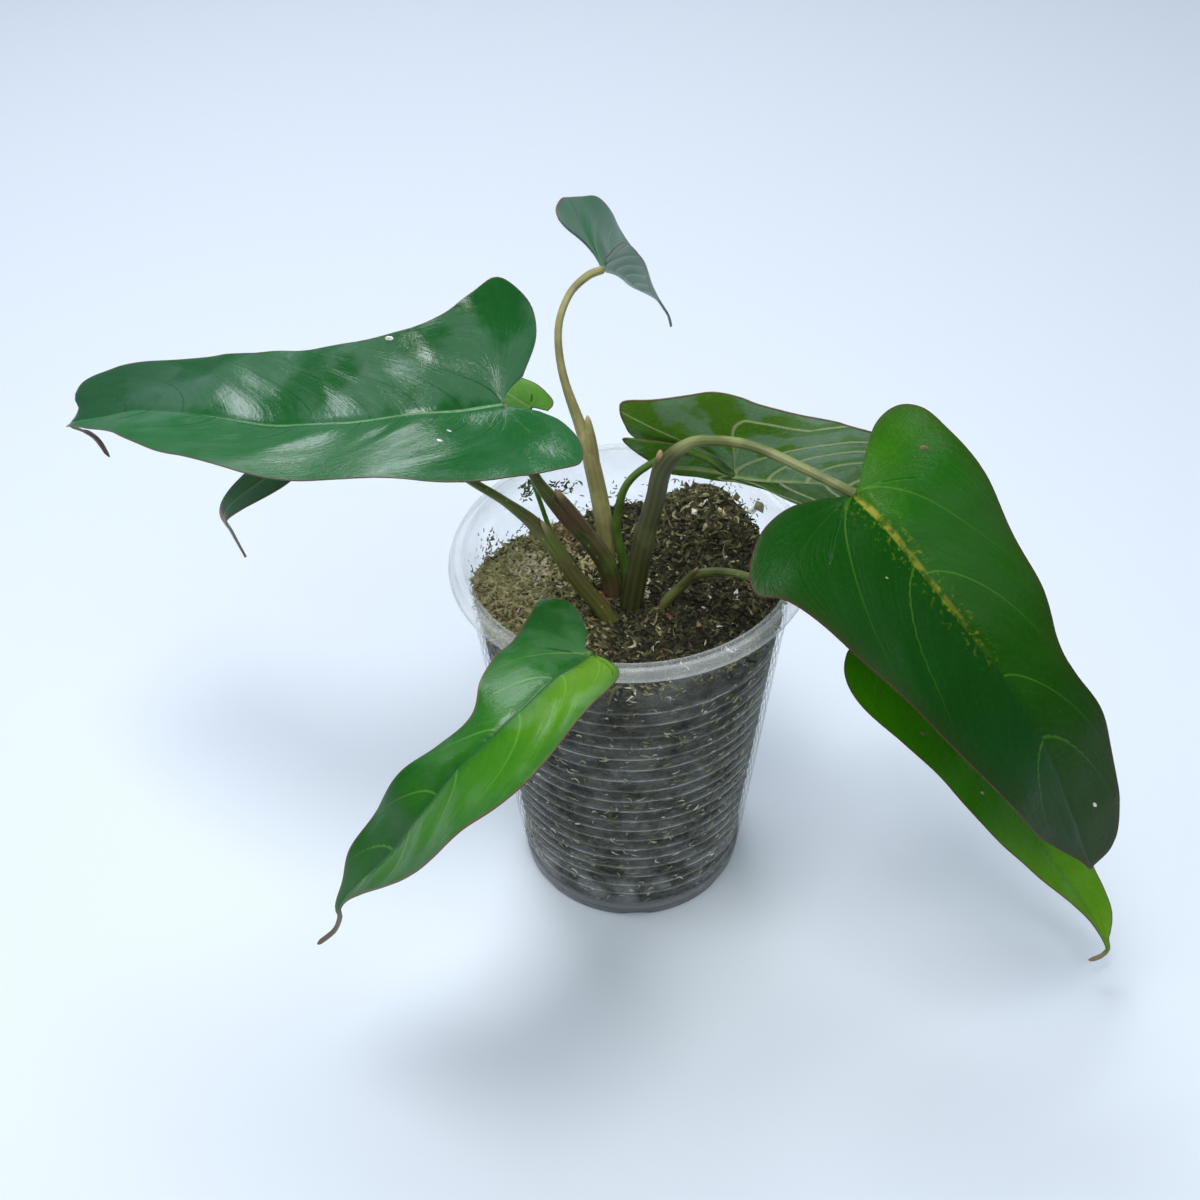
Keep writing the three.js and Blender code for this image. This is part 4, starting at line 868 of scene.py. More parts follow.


# The section as radius, height and frost, which is how much the plastic whitens there: partly real milky
# whitening, partly painted highlights along the rib crests and the rim.
def cupSection():
    c = cupShape
    lip = c["height"] - c["lipDrop"]
    foot = c["footRadius"]
    section = [(0.01, c["floor"] - c["wall"], 0.2), (foot - 4.2, c["floor"] - c["wall"], 0.2),
               (foot - 3.0, c["floor"] - 1.4, 0.3), (foot - 2.6, 0.4, 0.5), (foot - 2.2, 0.0, 0.6),
               (foot - 0.5, 0.0, 0.6), (foot, 0.6, 0.5), (foot + 0.3, 3.0, 0.2)]
    ribHeights = [c["firstRib"] + i * c["ribPitch"] for i in range(c["ribs"])]
    for z in ribHeights:
        for step, rise, frostAndGlint in ribOutside:
            section.append((wallRadius(z + step) + rise * c["ribDepth"], z + step, frostAndGlint))
    top = c["height"]
    section += [(wallRadius(lip - 3), lip - 3, 0.1), (wallRadius(lip), lip, 0.3),
                (c["wallTopRadius"] + 0.7, top - 1.3, 0.5),
                (c["rimRadius"] - 2.0, top - 1.0, 0.4), (c["rimRadius"] - 1.1, lip + 0.2, 0.6),
                (c["rimRadius"] - 0.5, lip - 0.15, 1.0), (c["rimRadius"], lip + 0.1, 1.0),
                (c["rimRadius"] - 0.5, lip + 1.5, 0.35), (c["rimRadius"] - 1.1, top - 0.35, 0.6),
                (c["rimRadius"] - 1.5, top, 1.0), (c["rimRadius"] - 2.2, top - 0.1, 0.3),
                (c["mouthRadius"] + 0.6, top - 0.15, 0.3), (c["mouthRadius"], top, 1.0),
                (c["mouthRadius"] - 0.5, top - 0.5, 0.8), (wallRadius(lip) - c["wall"], top - 1.6, 0.3),
                (wallRadius(lip - 4) - c["wall"], lip - 4, 0.1)]
    for z in ribHeights[::-1]:
        for step, rise in ribInside:
            section.append((wallRadius(z + step) - c["wall"] + rise * c["insideRibDepth"], z + step, 0.0))
    section += [(wallRadius(c["floor"] + 1.2) - c["wall"], c["floor"] + 1.2, 0.1),
                (wallRadius(c["floor"]) - c["wall"] - 1.2, c["floor"], 0.2), (0.01, c["floor"], 0.2)]
    return np.array(section)


def ringAt(radius, turns, z):
    return np.column_stack([radius * np.cos(turns), radius * np.sin(turns), np.broadcast_to(z, turns.shape)])


def addCup(material):
    c = cupShape
    section = cupSection()
    turns = 2 * np.pi * np.arange(c["segments"]) / c["segments"]
    rings = []
    for r, z in section[:, :2]:
        ring = ringAt(r, turns, z)
        if r > c["footRadius"] - c["footRingWidth"] and z < c["footRingTop"]:
            phase = (turns / (2 * np.pi) * c["notches"] - c["notchTurn"]) % 1
            half = c["notchWidth"] / 2 / c["footRadius"] / (2 * np.pi) * c["notches"]
            offset = np.minimum(phase, 1 - phase) / half
            arch = c["notchHeight"] * np.sqrt(np.clip(1 - offset**2, 0, 1))
            ring[:, 2] = np.maximum(ring[:, 2], arch)
        rings.append(ring)
    points, faces = tubeParts(np.array(rings))
    frostAndGlint = np.repeat(section[:, 2], c["segments"])
    addPiece("clear_cup", points, faces, material, ["cup"], {"frostAndGlint": frostAndGlint})


# Injection moulded polypropylene: clear in the thin wall, whiter where it is thick or bent, glossy but
# scuffed. The whiter rib crests and lip also carry painted highlights. The wall is drawn as a thin film, so
# its clearness is the shader's alpha. Heights are in metres.
cupLook = dict(tint="#e2e6e0", clearAlpha=0.01, frostAndGlintAlpha=0.34, mistAlpha=0.08, edgeAlpha=0.17,
               # The last two set the foot ring's painted shade, from the contact shadow under the cup and the
               # mix seen through it.
               lipAlpha=0.28, footShade=0.85, footShadeTint="#25241f")


def clearPolypropylene(look):
    material, tree, shader = newMaterial("clear moulded polypropylene")
    place = addNode(tree, "ShaderNodeTexCoord").outputs["Object"]
    frostAndGlint = addNode(tree, "ShaderNodeAttribute", {"attribute_name": "frostAndGlint"}).outputs["Fac"]
    # Haze in patches about 8 mm across.
    haze = addNode(tree, "ShaderNodeTexNoise", inputs={"Vector": place, "Scale": 120.0, "Detail": 5.0})
    scuff = addNode(tree, "ShaderNodeMapRange", smoothStep,
                    {0: haze.outputs[0], 1: 0.35, 2: 0.7, 3: look["clearAlpha"],
                     4: look["clearAlpha"] + 0.05})
    height = addNode(tree, "ShaderNodeSeparateXYZ", inputs={0: place}).outputs[2]
    # The ribs whiten in patches, between two strengths, and the lip evenly; this whitening is partly painted
    # highlight.
    weak, strong = [addNode(tree, "ShaderNodeMapRange", inputs={0: height, 1: 0.110, 2: 0.113, 3: amount,
                                                                4: look["lipAlpha"]}).outputs[0]
                    for amount in (look["frostAndGlintAlpha"] * 0.4, look["frostAndGlintAlpha"])]
    broken = addNode(tree, "ShaderNodeMapRange", smoothStep,
                     {0: haze.outputs[0], 1: 0.42, 2: 0.62, 3: weak, 4: strong})
    frostedAndGlinting = addNode(tree, "ShaderNodeMath", {"operation": "MULTIPLY_ADD", "use_clamp": True},
                      {0: frostAndGlint, 1: broken.outputs[0], 2: scuff.outputs[0]})
    rough = addNode(tree, "ShaderNodeMapRange", inputs={0: haze.outputs[0], 1: 0.3, 2: 0.7, 3: 0.12, 4: 0.26})
    # A milky film of condensation over the lowest centimetres, and more plastic in the line of sight
    # where the wall is seen edge on.
    low = addNode(tree, "ShaderNodeMapRange", smoothStep,
                  {0: height, 1: 0.034, 2: 0.006, 4: look["mistAlpha"]})
    mistPatch = addNode(tree, "ShaderNodeMapRange", smoothStep, {0: haze.outputs[0], 1: 0.42, 2: 0.6})
    mist = addNode(tree, "ShaderNodeMath", {"operation": "MULTIPLY"},
                   {0: low.outputs[0], 1: mistPatch.outputs[0]})
    facing = addNode(tree, "ShaderNodeLayerWeight", inputs={"Blend": 0.5}).outputs["Facing"]
    grazing = addNode(tree, "ShaderNodeMapRange", smoothStep,
                      {0: facing, 1: 0.55, 2: 1.0, 4: look["edgeAlpha"]})
    alpha = addNode(tree, "ShaderNodeMath", {"operation": "ADD"}, {0: mist.outputs[0], 1: grazing.outputs[0]})
    alpha = addNode(tree, "ShaderNodeMath", {"operation": "ADD", "use_clamp": True},
                    {0: alpha.outputs[0], 1: frostedAndGlinting.outputs[0]})
    # The foot ring is painted dark: painted shade of the contact shadow under the cup, and the dark of the
    # mix above it painted in, as thick clear plastic shows it.
    foot = addNode(tree, "ShaderNodeMapRange", smoothStep,
                   {0: height, 1: 0.0085, 2: 0.0025, 4: look["footShade"]})
    alpha = addNode(tree, "ShaderNodeMath", {"operation": "MAXIMUM"},
                    {0: alpha.outputs[0], 1: foot.outputs[0]})
    colour = addNode(tree, "ShaderNodeMix", colourMix,
                     {0: foot.outputs[0], 6: linear(look["tint"]), 7: linear(look["footShadeTint"])})
    tree.links.new(alpha.outputs[0], shader.inputs["Alpha"])
    tree.links.new(rough.outputs[0], shader.inputs["Roughness"])
    tree.links.new(colour.outputs[2], shader.inputs["Base Color"])
    shader.inputs["IOR"].default_value = 1.49
    return material


addCup(clearPolypropylene(cupLook))
print("cup built")


# Potting mix: a lumpy surface, and on it crumbs, curled moss fibres and bark bits. Hills are x, y and
# width. Towards the wall the surface rises, except in the back hollow and dip, and it has a mound.
mixShape = dict(
    level=96.0, edgeRise=9.0, hollow=(-20, 34, 17), hollowDepth=0.95, dip=(8, 42, 14), dipDepth=0.6,
    mound=(21, 29, 9), moundHeight=11, rings=70, wallRings=90, segments=260, wallGap=0.35, topGap=0.2,
    lump=0.9, lumpSize=7.0, grain=0.45, grainSize=1.6, calmFrom=0.97, sideGap=0.15, dentDepth=0.9,
    dentSize=2.2, dentsFrom=0.03, footFrom=0.985, footGap=1.0, floorGap=0.4)


def hill(x, y, centreX, centreY, width):
    return np.exp(-((x - centreX)**2 + (y - centreY)**2) / (2 * width**2))


def mixHeight(x, y):
    m = mixShape
    edge = (np.hypot(x, y) / cupShape["mouthRadius"])**3
    hollow = m["hollowDepth"] * hill(x, y, *m["hollow"])
    dip = m["dipDepth"] * hill(x, y, *m["dip"])
    mound = m["moundHeight"] * hill(x, y, *m["mound"])
    return m["level"] + m["edgeRise"] * edge * (1 - hollow) * (1 - dip) + mound


def innerRadius(z):
    return wallRadius(z) - cupShape["wall"] - mixShape["wallGap"]


def lumpy(x, y):
    m = mixShape
    points = np.column_stack([x, y, np.zeros(len(x))])
    return m["lump"] * cloud(points, m["lumpSize"], 3) + m["grain"] * cloud(points + 50, m["grainSize"], 2)


def addMixBody(material):
    m = mixShape
    segments = m["segments"]
    turns = 2 * np.pi * np.arange(segments) / segments
    edge = ringAt(innerRadius(m["level"]), turns, 0.0)
    fullReach = innerRadius(mixHeight(edge[:, 0], edge[:, 1])) - m["topGap"]
    points = [np.array([[0, 0, mixHeight(np.zeros(1), np.zeros(1))[0]]])]
    for ring in range(1, m["rings"] + 1):
        share = ring / m["rings"]
        x, y = fullReach * share * np.cos(turns), fullReach * share * np.sin(turns)
        z = mixHeight(x, y) + lumpy(x, y) * (1 - 0.5 * (share > m["calmFrom"]))
        points.append(np.column_stack([x, y, z]))
    top = points[-1][:, 2]
    bottom = cupShape["floor"] + m["floorGap"]
    for step in range(1, m["wallRings"] + 1):
        share = step / m["wallRings"]
        z = top * (1 - share) + bottom * share
        r = innerRadius(z) - m["sideGap"]
        dents = cloud(ringAt(r, turns, z), m["dentSize"], 3)
        r = r - m["dentDepth"] * np.clip(dents, 0, 1) * ease(0.0, m["dentsFrom"], share)
        r = np.where(share > m["footFrom"], r - m["footGap"], r)
        points.append(ringAt(r, turns, z))
    points.append(np.array([[0, 0, bottom]]))
    points = np.vstack(points)
    faces = []
    rows = m["rings"] + m["wallRings"]

    def at(ring, k):
        return 1 + (ring - 1) * segments + k % segments

    for k in range(segments):
        faces.append([0, at(1, k), at(1, k + 1)])
        for ring in range(1, rows):
            faces.append([at(ring, k), at(ring + 1, k), at(ring + 1, k + 1), at(ring, k + 1)])
        faces.append([at(rows, k + 1), at(rows, k), len(points) - 1])
    addPiece("mix_body", points, faces, material, ["potting_mix"])


# Damp peat and shredded moss: no gloss, olive brown on the crumbs, and near black in the low spots of the
# crumb relief, which is painted shade in its hollows.
mixLook = dict(hollow="#161610", crumb="#37372c", pale="#605d4c")


def dampPeat(look):
    material, tree, shader = newMaterial("damp peat and moss")
    place = addNode(tree, "ShaderNodeTexCoord").outputs["Object"]
    # Crumbs about 3 mm across, with finer ones between them.
    coarse = addNode(tree, "ShaderNodeTexNoise",
                     inputs={"Vector": place, "Scale": 300.0, "Detail": 6.0, "Roughness": 0.7})
    ramp = addNode(tree, "ShaderNodeValToRGB", inputs={0: coarse.outputs[0]})
    stops = ramp.color_ramp.elements
    stops[0].position, stops[0].color = 0.32, linear(look["hollow"])
    stops[1].position, stops[1].color = 0.72, linear(look["pale"])
    stops.new(0.5).color = linear(look["crumb"])
    # The bump follows the same noise, so the darkest colour, painted shade, sits in its low spots.
    bump = addNode(tree, "ShaderNodeBump",
                   inputs={"Strength": 0.9, "Distance": 0.0008, "Height": coarse.outputs[0]})
    tree.links.new(ramp.outputs[0], shader.inputs["Base Color"])
    tree.links.new(bump.outputs[0], shader.inputs["Normal"])
    shader.inputs["Roughness"].default_value = 0.92
    shader.inputs["Specular IOR Level"].default_value = 0.25
    return material


addMixBody(dampPeat(mixLook))
print("potting mix body built")


# Loose bits are tinted by an attribute that counts along this row: black peat to straw, then green moss,
# reddish bark, cream and white.
bitColours = ["#17160f", "#2c2b1e", "#45432d", "#625e3c", "#938d60", "#c6bb8c", "#66843a", "#7d5643",
              "#cfc6a4", "#ecebdf"]


# Shredded moss, straw and bark: dry and dull, with a grain about a millimetre across.
def looseBits(name, colours):
    material, tree, shader = newMaterial(name)
    tint = addNode(tree, "ShaderNodeAttribute", {"attribute_name": "tint"}).outputs["Fac"]
    along = addNode(tree, "ShaderNodeMapRange", inputs={0: tint, 2: float(len(colours) - 1)})
    ramp = addNode(tree, "ShaderNodeValToRGB", inputs={0: along.outputs[0]})
    spreadTones(ramp, colours)
    place = addNode(tree, "ShaderNodeTexCoord").outputs["Object"]
    grain = addNode(tree, "ShaderNodeTexNoise", inputs={"Vector": place, "Scale": 900.0, "Detail": 3.0})
    value = addNode(tree, "ShaderNodeMapRange", inputs={0: grain.outputs[0], 1: 0.3, 2: 0.7, 3: 0.6, 4: 1.35})
    shaded = addNode(tree, "ShaderNodeHueSaturation",
                     inputs={"Value": value.outputs[0], "Color": ramp.outputs[0]})
    tree.links.new(shaded.outputs[0], shader.inputs["Base Color"])
    shader.inputs["Roughness"].default_value = 0.85
    shader.inputs["Specular IOR Level"].default_value = 0.3
    return material


# A curled fibre: a tapered three-sided strand, laid along one direction. The curls are shares of its
# length, sideways and upwards, and the strand bows about these middles.
fibreShape = dict(rings=5, sidewaysMiddle=0.08, upwardsMiddle=0.1, endWidth=0.35, halfWidth=0.5, height=0.45)


def fibreParts(place, direction, upward, length, width, curl):
    f = fibreShape
    last = f["rings"] - 1
    direction = unit(direction)
    across = unit(np.cross(upward, direction))
    rings = []
    for k in range(f["rings"]):
        share = k / last - 0.5
        centre = (place + direction * length * share
                  + across * curl[0] * length * (share * share - f["sidewaysMiddle"])
                  + upward * curl[1] * length * (f["upwardsMiddle"] - share * share))
        size = width * (1.0 if 0 < k < last else f["endWidth"])
        rings.append([centre + across * size * f["halfWidth"], centre - across * size * f["halfWidth"],
                      centre + upward * size * f["height"]])
    return tubeParts(np.array(rings))


# A crumb: an uneven eight-sided lump. Of the nine draws in spin, six stretch its corners and three turn it.
def crumbParts(place, size, spin):
    corners = np.array([(1, 0, 0), (0, 1, 0), (-1, 0, 0), (0, -1, 0), (0, 0, 1), (0, 0, -1)], float)
    corners *= size * spin[:6, None]
    faces = [[0, 1, 4], [1, 2, 4], [2, 3, 4], [3, 0, 4], [1, 0, 5], [2, 1, 5], [3, 2, 5], [0, 3, 5]]
    turn = np.array(Matrix.Rotation(spin[6] * 9, 3, Vector((spin[7], spin[8], 1)).normalized()))
    return corners @ turn + place, faces


# Which colours lie where: straw and reddish moss at the left, olive shreds on the mound, peat at the right.
bitPlaces = dict(
    peat=1.5, straw=3.4, strawSide=(-34, 2), olive=1.1, oliveAt=(20, 28, 12), mixing=1.0, palest=5.5,
    bark=0.006, barkLeft=0.07, barkSide=(-30, -10), barkTint=7, cream=0.01, creamTints=(7.8, 9))


def bitTint(x, y):
    b = bitPlaces
    middle = b["peat"] + b["straw"] * (1 - ease(*b["strawSide"], x)) + b["olive"] * hill(x, y, *b["oliveAt"])
    tint = np.clip(dice.normal(middle, b["mixing"]), 0, b["palest"])
    rare = dice.random(len(x))
    reddish = b["bark"] + b["barkLeft"] * (1 - ease(*b["barkSide"], x))
    creamy = dice.uniform(*b["creamTints"], len(x))
    return np.where(rare < reddish, b["barkTint"], np.where(rare > 1 - b["cream"], creamy, tint))


bitCounts = dict(fibres=6400, crumbs=3600, wallFibres=4200, strayFlecks=520)
mixReach = 41.2  # how far from the axis bits lie on the mix

# Tufts on the mix: place, spread, number, colours and lengths.
mixTufts = [
    dict(place=(-26, 13), spread=3.2, count=150, colours=(7.7, 8.3), lengths=(1.0, 3.0)),
    dict(place=(-33.5, -3), spread=3.4, count=110, colours=(6.9, 7.1), lengths=(0.8, 2.2)),
    dict(place=(-35, 4), spread=5.5, count=230, colours=(3.8, 5.4), lengths=(2.0, 5.0)),
    dict(place=(-17, 28), spread=3.0, count=60, colours=(6.9, 7.1), lengths=(0.8, 2.2)),
    dict(place=(-10, 16), spread=4.0, count=80, colours=(4.4, 5.0), lengths=(1.2, 3.0)),
    dict(place=(3, 6), spread=1.8, count=50, colours=(7.8, 8.2), lengths=(0.8, 2.0)),
    dict(place=(-16, -12), spread=5.0, count=90, colours=(3.4, 5.0), lengths=(1.2, 3.0)),
]
# Single lumps on the mix: place, size and colour.
mixLumps = [((19, 24), 1.3, 8.2), ((21, 25.5), 0.9, 8.0), ((17.5, 22), 0.8, 7.3), ((35, 24.5), 1.7, 9),
            ((37.2, 25), 2.0, 3.3), ((31, 28), 1.5, 3.0), ((18, -11), 1.1, 7.2), ((26, 24), 0.9, 5.0),
            ((28, -6), 1.2, 3.4), ((-7, -21), 0.8, 8.3)]


def scatterOnTop(count):
    reach = np.sqrt(dice.random(count)) * mixReach
    turns = dice.random(count) * 2 * np.pi
    x, y = reach * np.cos(turns), reach * np.sin(turns)
    return x, y, mixHeight(x, y) + lumpy(x, y)


bitMaterial = looseBits("shredded moss and bark bits", bitColours)


# Joins bits into one piece, each with one tint.
def addBits(name, parts, tints):
    points, faces = joinParts(parts)
    tint = np.concatenate([np.full(len(p), t) for (p, _), t in zip(parts, tints)])
    addPiece(name, points, faces, bitMaterial, (), {"tint": tint}, False)


upright = np.array([0, 0, 1.0])
topFibres = dict(shortest=1.6, spread=0.9, longest=6.0, slope=0.35, lift=0.15, pile=0.3, tuftLift=0.4,
                 widths=(0.4, 1.1), curls=(1.2, 0.5))
topCrumbs = dict(sizes=(0.35, 1.15), uneven=(0.55, 1.2), lumpUneven=(0.7, 1.2), lumpLift=0.8)


def addTopFibres():
    f = topFibres
    x, y, z = scatterOnTop(bitCounts["fibres"])
    tints = bitTint(x, y)
    lengths = np.minimum(f["shortest"] + dice.gamma(2.0, f["spread"], len(x)), f["longest"])
    for tuft in mixTufts:
        count = tuft["count"]
        tuftX = dice.normal(tuft["place"][0], tuft["spread"], count)
        tuftY = dice.normal(tuft["place"][1], tuft["spread"], count)
        held = np.minimum(1, mixReach / np.maximum(np.hypot(tuftX, tuftY), 1))
        tuftX, tuftY = tuftX * held, tuftY * held
        x, y = np.append(x, tuftX), np.append(y, tuftY)
        z = np.append(z, mixHeight(tuftX, tuftY) + lumpy(tuftX, tuftY) + f["tuftLift"])
        tints = np.append(tints, dice.uniform(*tuft["colours"], count))
        lengths = np.append(lengths, dice.uniform(*tuft["lengths"], count))
    parts = []
    for k in range(len(x)):
        turn = dice.random() * 2 * np.pi
        direction = np.array([math.cos(turn), math.sin(turn), dice.normal(0, f["slope"])])
        place = np.array([x[k], y[k], z[k] + f["lift"] + f["pile"] * dice.random()])
        width = dice.uniform(*f["widths"])
        curl = (dice.normal(0, f["curls"][0]), dice.normal(0, f["curls"][1]))
        parts.append(fibreParts(place, direction, upright, lengths[k], width, curl))
    addBits("moss_fibres", parts, tints)


def addTopCrumbs():
    c = topCrumbs
    x, y, z = scatterOnTop(bitCounts["crumbs"])
    tints = bitTint(x, y)
    parts = []
    for place in np.column_stack([x, y, z]):
        size = dice.uniform(*c["sizes"])
        parts.append(crumbParts(place, size, dice.uniform(*c["uneven"], 9)))
    for place, size, tint in mixLumps:
        ground = mixHeight(np.array([place[0]]), np.array([place[1]]))[0]
        centre = np.array([*place, ground + c["lumpLift"] * size])
        parts.append(crumbParts(centre, size, dice.uniform(*c["lumpUneven"], 9)))
        tints = np.append(tints, tint)
    addBits("peat_crumbs", parts, tints)


def wallWays(turn):
    outward = np.array([math.cos(turn), math.sin(turn), 0.0])
    around = np.array([-math.sin(turn), math.cos(turn), 0.0])
    return outward, around


def mixTopAtWall(outward, reach=41.0):
    return mixHeight(outward[:1] * reach, outward[1:2] * reach)[0]


# Fibres pressed flat against the inside of the wall: black, straw, green and a few cream ones, as the
# share up to which each is drawn and its tints.
wallFibres = dict(above=1.0, below=0.5, lean=0.6, sink=0.25, lengths=(0.6, 2.8), widths=(0.2, 0.55), curl=1.0,
                  rise=-0.05, tints=[(0.58, (0, 2)), (0.82, (2.5, 5.0)), (0.9, (5.5, 6.2)), (1.0, (7.8, 9))])


def addWallFibres():
    w = wallFibres
    parts, tints = [], []
    for k in range(bitCounts["wallFibres"]):
        outward, around = wallWays(dice.random() * 2 * np.pi)
        low = cupShape["floor"]
        z = low + w["above"] + dice.random() * (mixTopAtWall(outward) - low - w["above"] - w["below"])
        lean = dice.normal(0, w["lean"])
        direction = around * math.cos(lean) + upright * math.sin(lean)
        place = outward * (innerRadius(z) - w["sink"]) + upright * z
        length, width = dice.uniform(*w["lengths"]), dice.uniform(*w["widths"])
        curl = (dice.normal(0, w["curl"]), w["rise"])
        parts.append(fibreParts(place, direction, outward, length, width, curl))
        rare = dice.random()
        tints.append(dice.uniform(*next(span for upTo, span in w["tints"] if rare <= upTo)))
    addBits("pressed_fibres", parts, tints)


# Moss stuck high on the bare wall: turn in degrees, height, spread, number and colours.
wallTufts = [(132, 112.5, 2.0, 45, (5.7, 6.3)), (117, 109.5, 1.3, 18, (1.0, 2.5)),
             (112, 107, 1.2, 12, (5.8, 6.2)), (156, 107, 1.2, 12, (5.6, 6.0)),
             (160, 103, 2.5, 30, (3.5, 5.0))]


# Specks and moss shreds stuck to the bare wall above the mix. wallAway is the wall's distance from the
# axis up there, and thin is the height above the mix over which they thin out.
wallFlecks = dict(
    curl=0.8, wallAway=42, underRim=2.5, thin=4.5, greenShare=0.4, greens=(5.2, 6.2), darks=(0.8, 4.5),
    inTufts=dict(sink=0.4, lengths=(0.6, 2.4), widths=(0.3, 0.7), rise=0.1),
    alone=dict(sink=0.2, lengths=(0.4, 1.9), widths=(0.2, 0.55), rise=0.05))


def wallFleck(turn, z, kind):
    outward, around = wallWays(turn)
    direction = around * dice.normal() + upright * dice.normal()
    place = outward * (wallRadius(z) - cupShape["wall"] - kind["sink"]) + upright * z
    length, width = dice.uniform(*kind["lengths"]), dice.uniform(*kind["widths"])
    curl = (dice.normal(0, wallFlecks["curl"]), kind["rise"])
    return fibreParts(place, direction, -outward, length, width, curl)


def addStrayFlecks():
    w = wallFlecks
    highest = cupShape["height"] - w["underRim"]
    parts, tints = [], []
    for turned, height, spread, count, colours in wallTufts:
        for k in range(count):
            turn = math.radians(turned) + dice.normal(0, spread / w["wallAway"])
            z = min(height + dice.normal(0, spread), highest)
            parts.append(wallFleck(turn, z, w["inTufts"]))
            tints.append(dice.uniform(*colours))
    while len(parts) < bitCounts["strayFlecks"]:
        turn = dice.random() * 2 * np.pi
        z = mixTopAtWall(wallWays(turn)[0]) + dice.exponential(w["thin"])
        if z > highest:
            continue
        parts.append(wallFleck(turn, z, w["alone"]))
        green = dice.random() < w["greenShare"]
        tints.append(dice.uniform(*(w["greens"] if green else w["darks"])))
    addBits("wall_flecks", parts, tints)


addTopFibres()
addTopCrumbs()
addWallFibres()
addStrayFlecks()
print("loose bits scattered")

# Small marks on the upper faces: leaf, reach along the midrib, width to the left, size and colour.
leafMarks = [("right_leaf", 2.9, 20.0, 1.9, 7.1), ("right_leaf", 20.4, -9.4, 0.8, 5.2),
             ("right_leaf", 101.2, 6.1, 1.6, 9), ("low_right_leaf", 22.8, -8.8, 1.5, 7.1),
             ("low_right_leaf", 49.6, -5.0, 1.3, 5.2), ("left_leaf", 16.8, 10.1, 1.4, 9),
             ("left_leaf", 14.7, 6.8, 1.2, 9), ("left_leaf", 27.3, -22.1, 2.2, 9)]
markShape = dict(lift=0.05, slant=(0.3, 0.9, 0.2), width=0.5, curl=(0.1, -0.05))


def addLeafMarks():
    parts = []
    for name, reach, width, size, tint in leafMarks:
        mesh = bpy.data.objects[name + "_blade_skin"].data
        flat = np.empty(len(mesh.vertices) * 3, np.float32)
        mesh.attributes["flatMm"].data.foreach_get("vector", flat)
        flat = flat.reshape(-1, 3)[:len(mesh.vertices) // 2]
        nearest = int(np.argmin(np.hypot(flat[:, 0] - reach, flat[:, 1] - width)))
        normal = np.array(mesh.vertices[nearest].normal)
        place = (np.array(mesh.vertices[nearest].co) - cupAxis) * 1000 + normal * markShape["lift"]
        direction = np.cross(normal, markShape["slant"])
        parts.append(fibreParts(place, direction, normal, size, markShape["width"] * size, markShape["curl"]))
    addBits("leaf_marks", parts, [mark[4] for mark in leafMarks])


addLeafMarks()

# Dried scale leaf between the petiole bases: papery and pinkish brown.
driedScale = dict(
    points=[(-6.4, -0.6, 92), (-6.8, -1, 97), (-8, -1.6, 102.5)], radii=[1.5, 1.6, 0.5],
    flat=0.7, steps=14, sides=16,
    look=dict(green="#b07c66", dark="#8a5546", purple="#7c4a3c", streak="#c99a80", lenticel="#d9b79c"))


def addDriedScale():
    steps, sides = driedScale["steps"], driedScale["sides"]
    line = smoothLine(driedScale["points"], steps)
    radii = spread(driedScale["radii"], np.linspace(0, 1, steps))
    points, faces = tubeParts(ringsAlong(line, radii, sides, driedScale["flat"]))
    attributes = {
        "turn": np.tile(np.arange(sides) * 2 * np.pi / sides, steps),
        "sheathed": np.ones(steps * sides),
        "sheathEdge": np.zeros(steps * sides),
    }
    material = stalkSkin("dry papery scale", {**stalkLook, **driedScale["look"]})
    addPiece("dried_scale_skin", points, faces, material, ["dried_scale"], attributes)


addDriedScale()
print("leaf marks and dried scale added")

# Plain pale ground that runs up into a plain backdrop, both far larger than the view.
stage = dict(colour="#ebf2f6", reach=3.0, backAt=1.1, rise=2.2, bend=0.5, bendSteps=12)


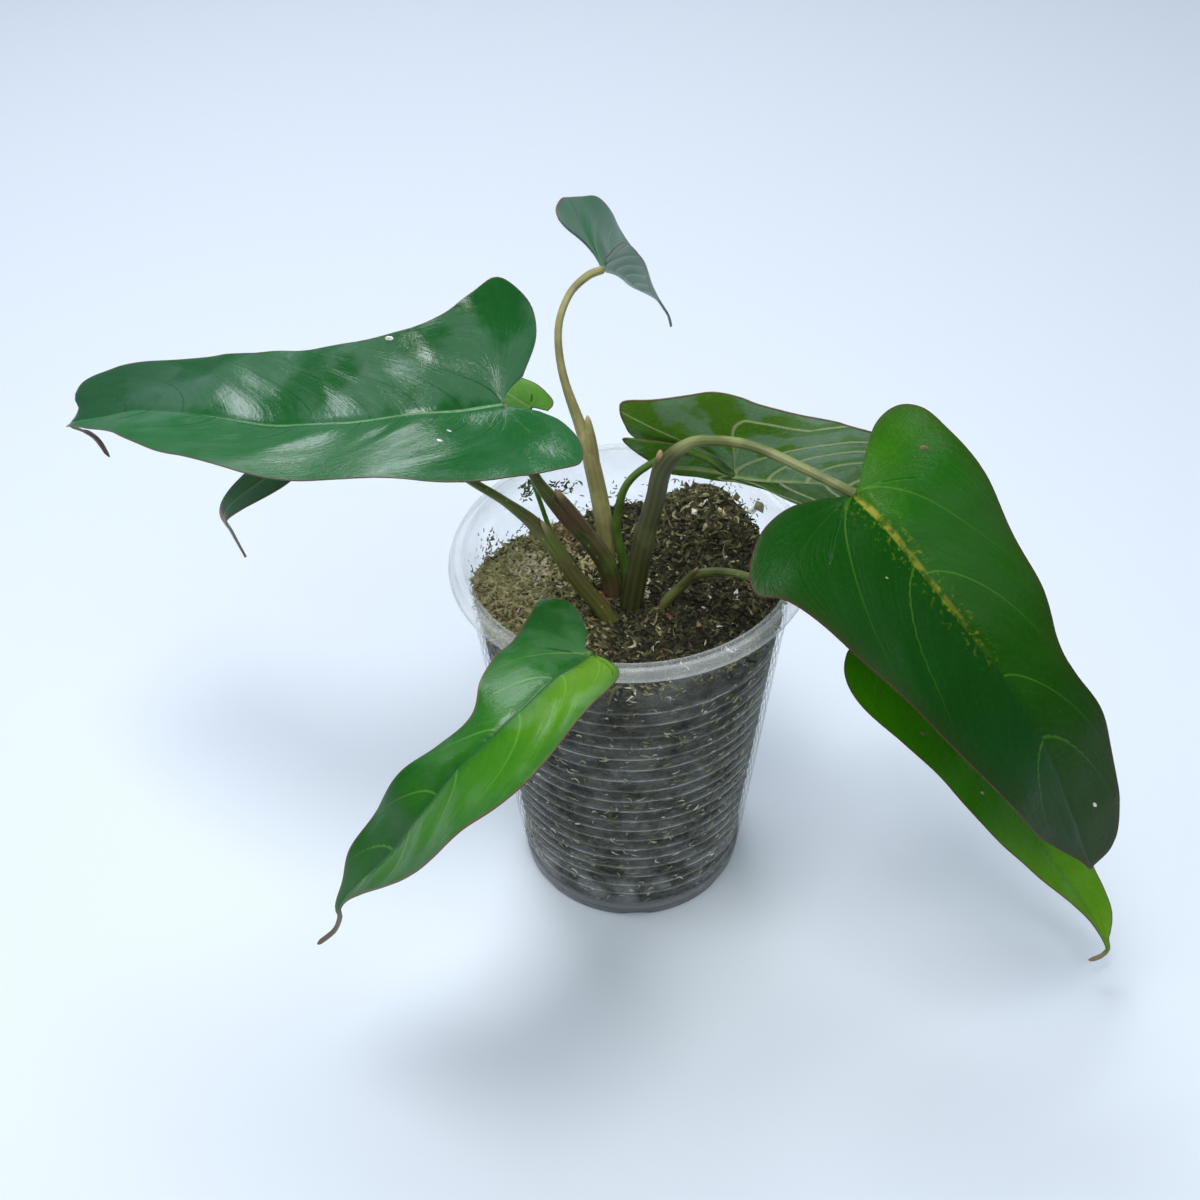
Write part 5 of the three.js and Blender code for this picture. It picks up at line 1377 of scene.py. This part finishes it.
def addStage():
    reach, back, bend, steps = stage["reach"], stage["backAt"], stage["bend"], stage["bendSteps"]
    profile = [(-reach, 0.0), (back, 0.0)]
    for k in range(1, steps + 1):
        turn = math.radians(90 * k / steps)
        profile.append((back + bend * math.sin(turn), bend - bend * math.cos(turn)))
    profile.append((back + bend, stage["rise"]))
    points = [(x, y, z) for y, z in profile for x in (-reach, reach)]
    faces = [[2 * k, 2 * k + 1, 2 * k + 3, 2 * k + 2] for k in range(len(profile) - 1)]
    mesh = bpy.data.meshes.new("pale_ground")
    mesh.from_pydata(points, [], faces)
    mesh.polygons.foreach_set("use_smooth", [True] * len(faces))
    material, tree, shader = newMaterial("pale matt paper")
    shader.inputs["Base Color"].default_value = linear(stage["colour"])
    shader.inputs["Roughness"].default_value = 0.8
    shader.inputs["Specular IOR Level"].default_value = 0.2
    mesh.materials.append(material)
    ground = bpy.data.objects.new("pale_ground", mesh)
    bpy.context.scene.collection.objects.link(ground)


addStage()

# Soft studio light: a window-like panel behind and above, a small lamp overhead, one from the left, a fill
# from the front and a cool sky.
lights = dict(
    window=dict(place=(-0.2, 0.75, 1.3), aim=(0, 0, 0.1), size=(0.72, 0.45), power=9.4, colour="#f0f4ff"),
    overhead=dict(
        place=(-0.06, -0.1, 0.65), aim=(0, -0.03, 0), size=(0.17, 0.17), power=1.6, colour="#f5f6fa"),
    side=dict(place=(-1.2, 0.2, 0.9), aim=(0, 0, 0.1), size=(0.5, 0.9), power=2.5, colour="#eef4ff"),
    fill=dict(place=(0.3, -1.2, 1.6), aim=(0.1, -0.2, 0), size=(1.3, 1.0), power=10.8, colour="#f2f6fb"),
)
sky = dict(colour="#dbe8ff", strength=0.28)


def addLights():
    for name, light in lights.items():
        lamp = bpy.data.lights.new(name, "AREA")
        lamp.shape = "RECTANGLE"
        lamp.size, lamp.size_y = light["size"]
        lamp.energy = light["power"]
        lamp.color = linear(light["colour"])[:3]
        holder = bpy.data.objects.new(name, lamp)
        holder.location = light["place"]
        aim = Vector(light["aim"]) - Vector(light["place"])
        holder.rotation_euler = aim.to_track_quat("-Z", "Y").to_euler()
        bpy.context.scene.collection.objects.link(holder)
    world = bpy.data.worlds.new("pale sky")
    world.use_nodes = True
    background = world.node_tree.nodes["Background"]
    background.inputs["Color"].default_value = linear(sky["colour"])
    background.inputs["Strength"].default_value = sky["strength"]
    bpy.context.scene.world = world


addLights()
bpy.context.scene.view_settings.view_transform = "Standard"
print("stage and lights ready")
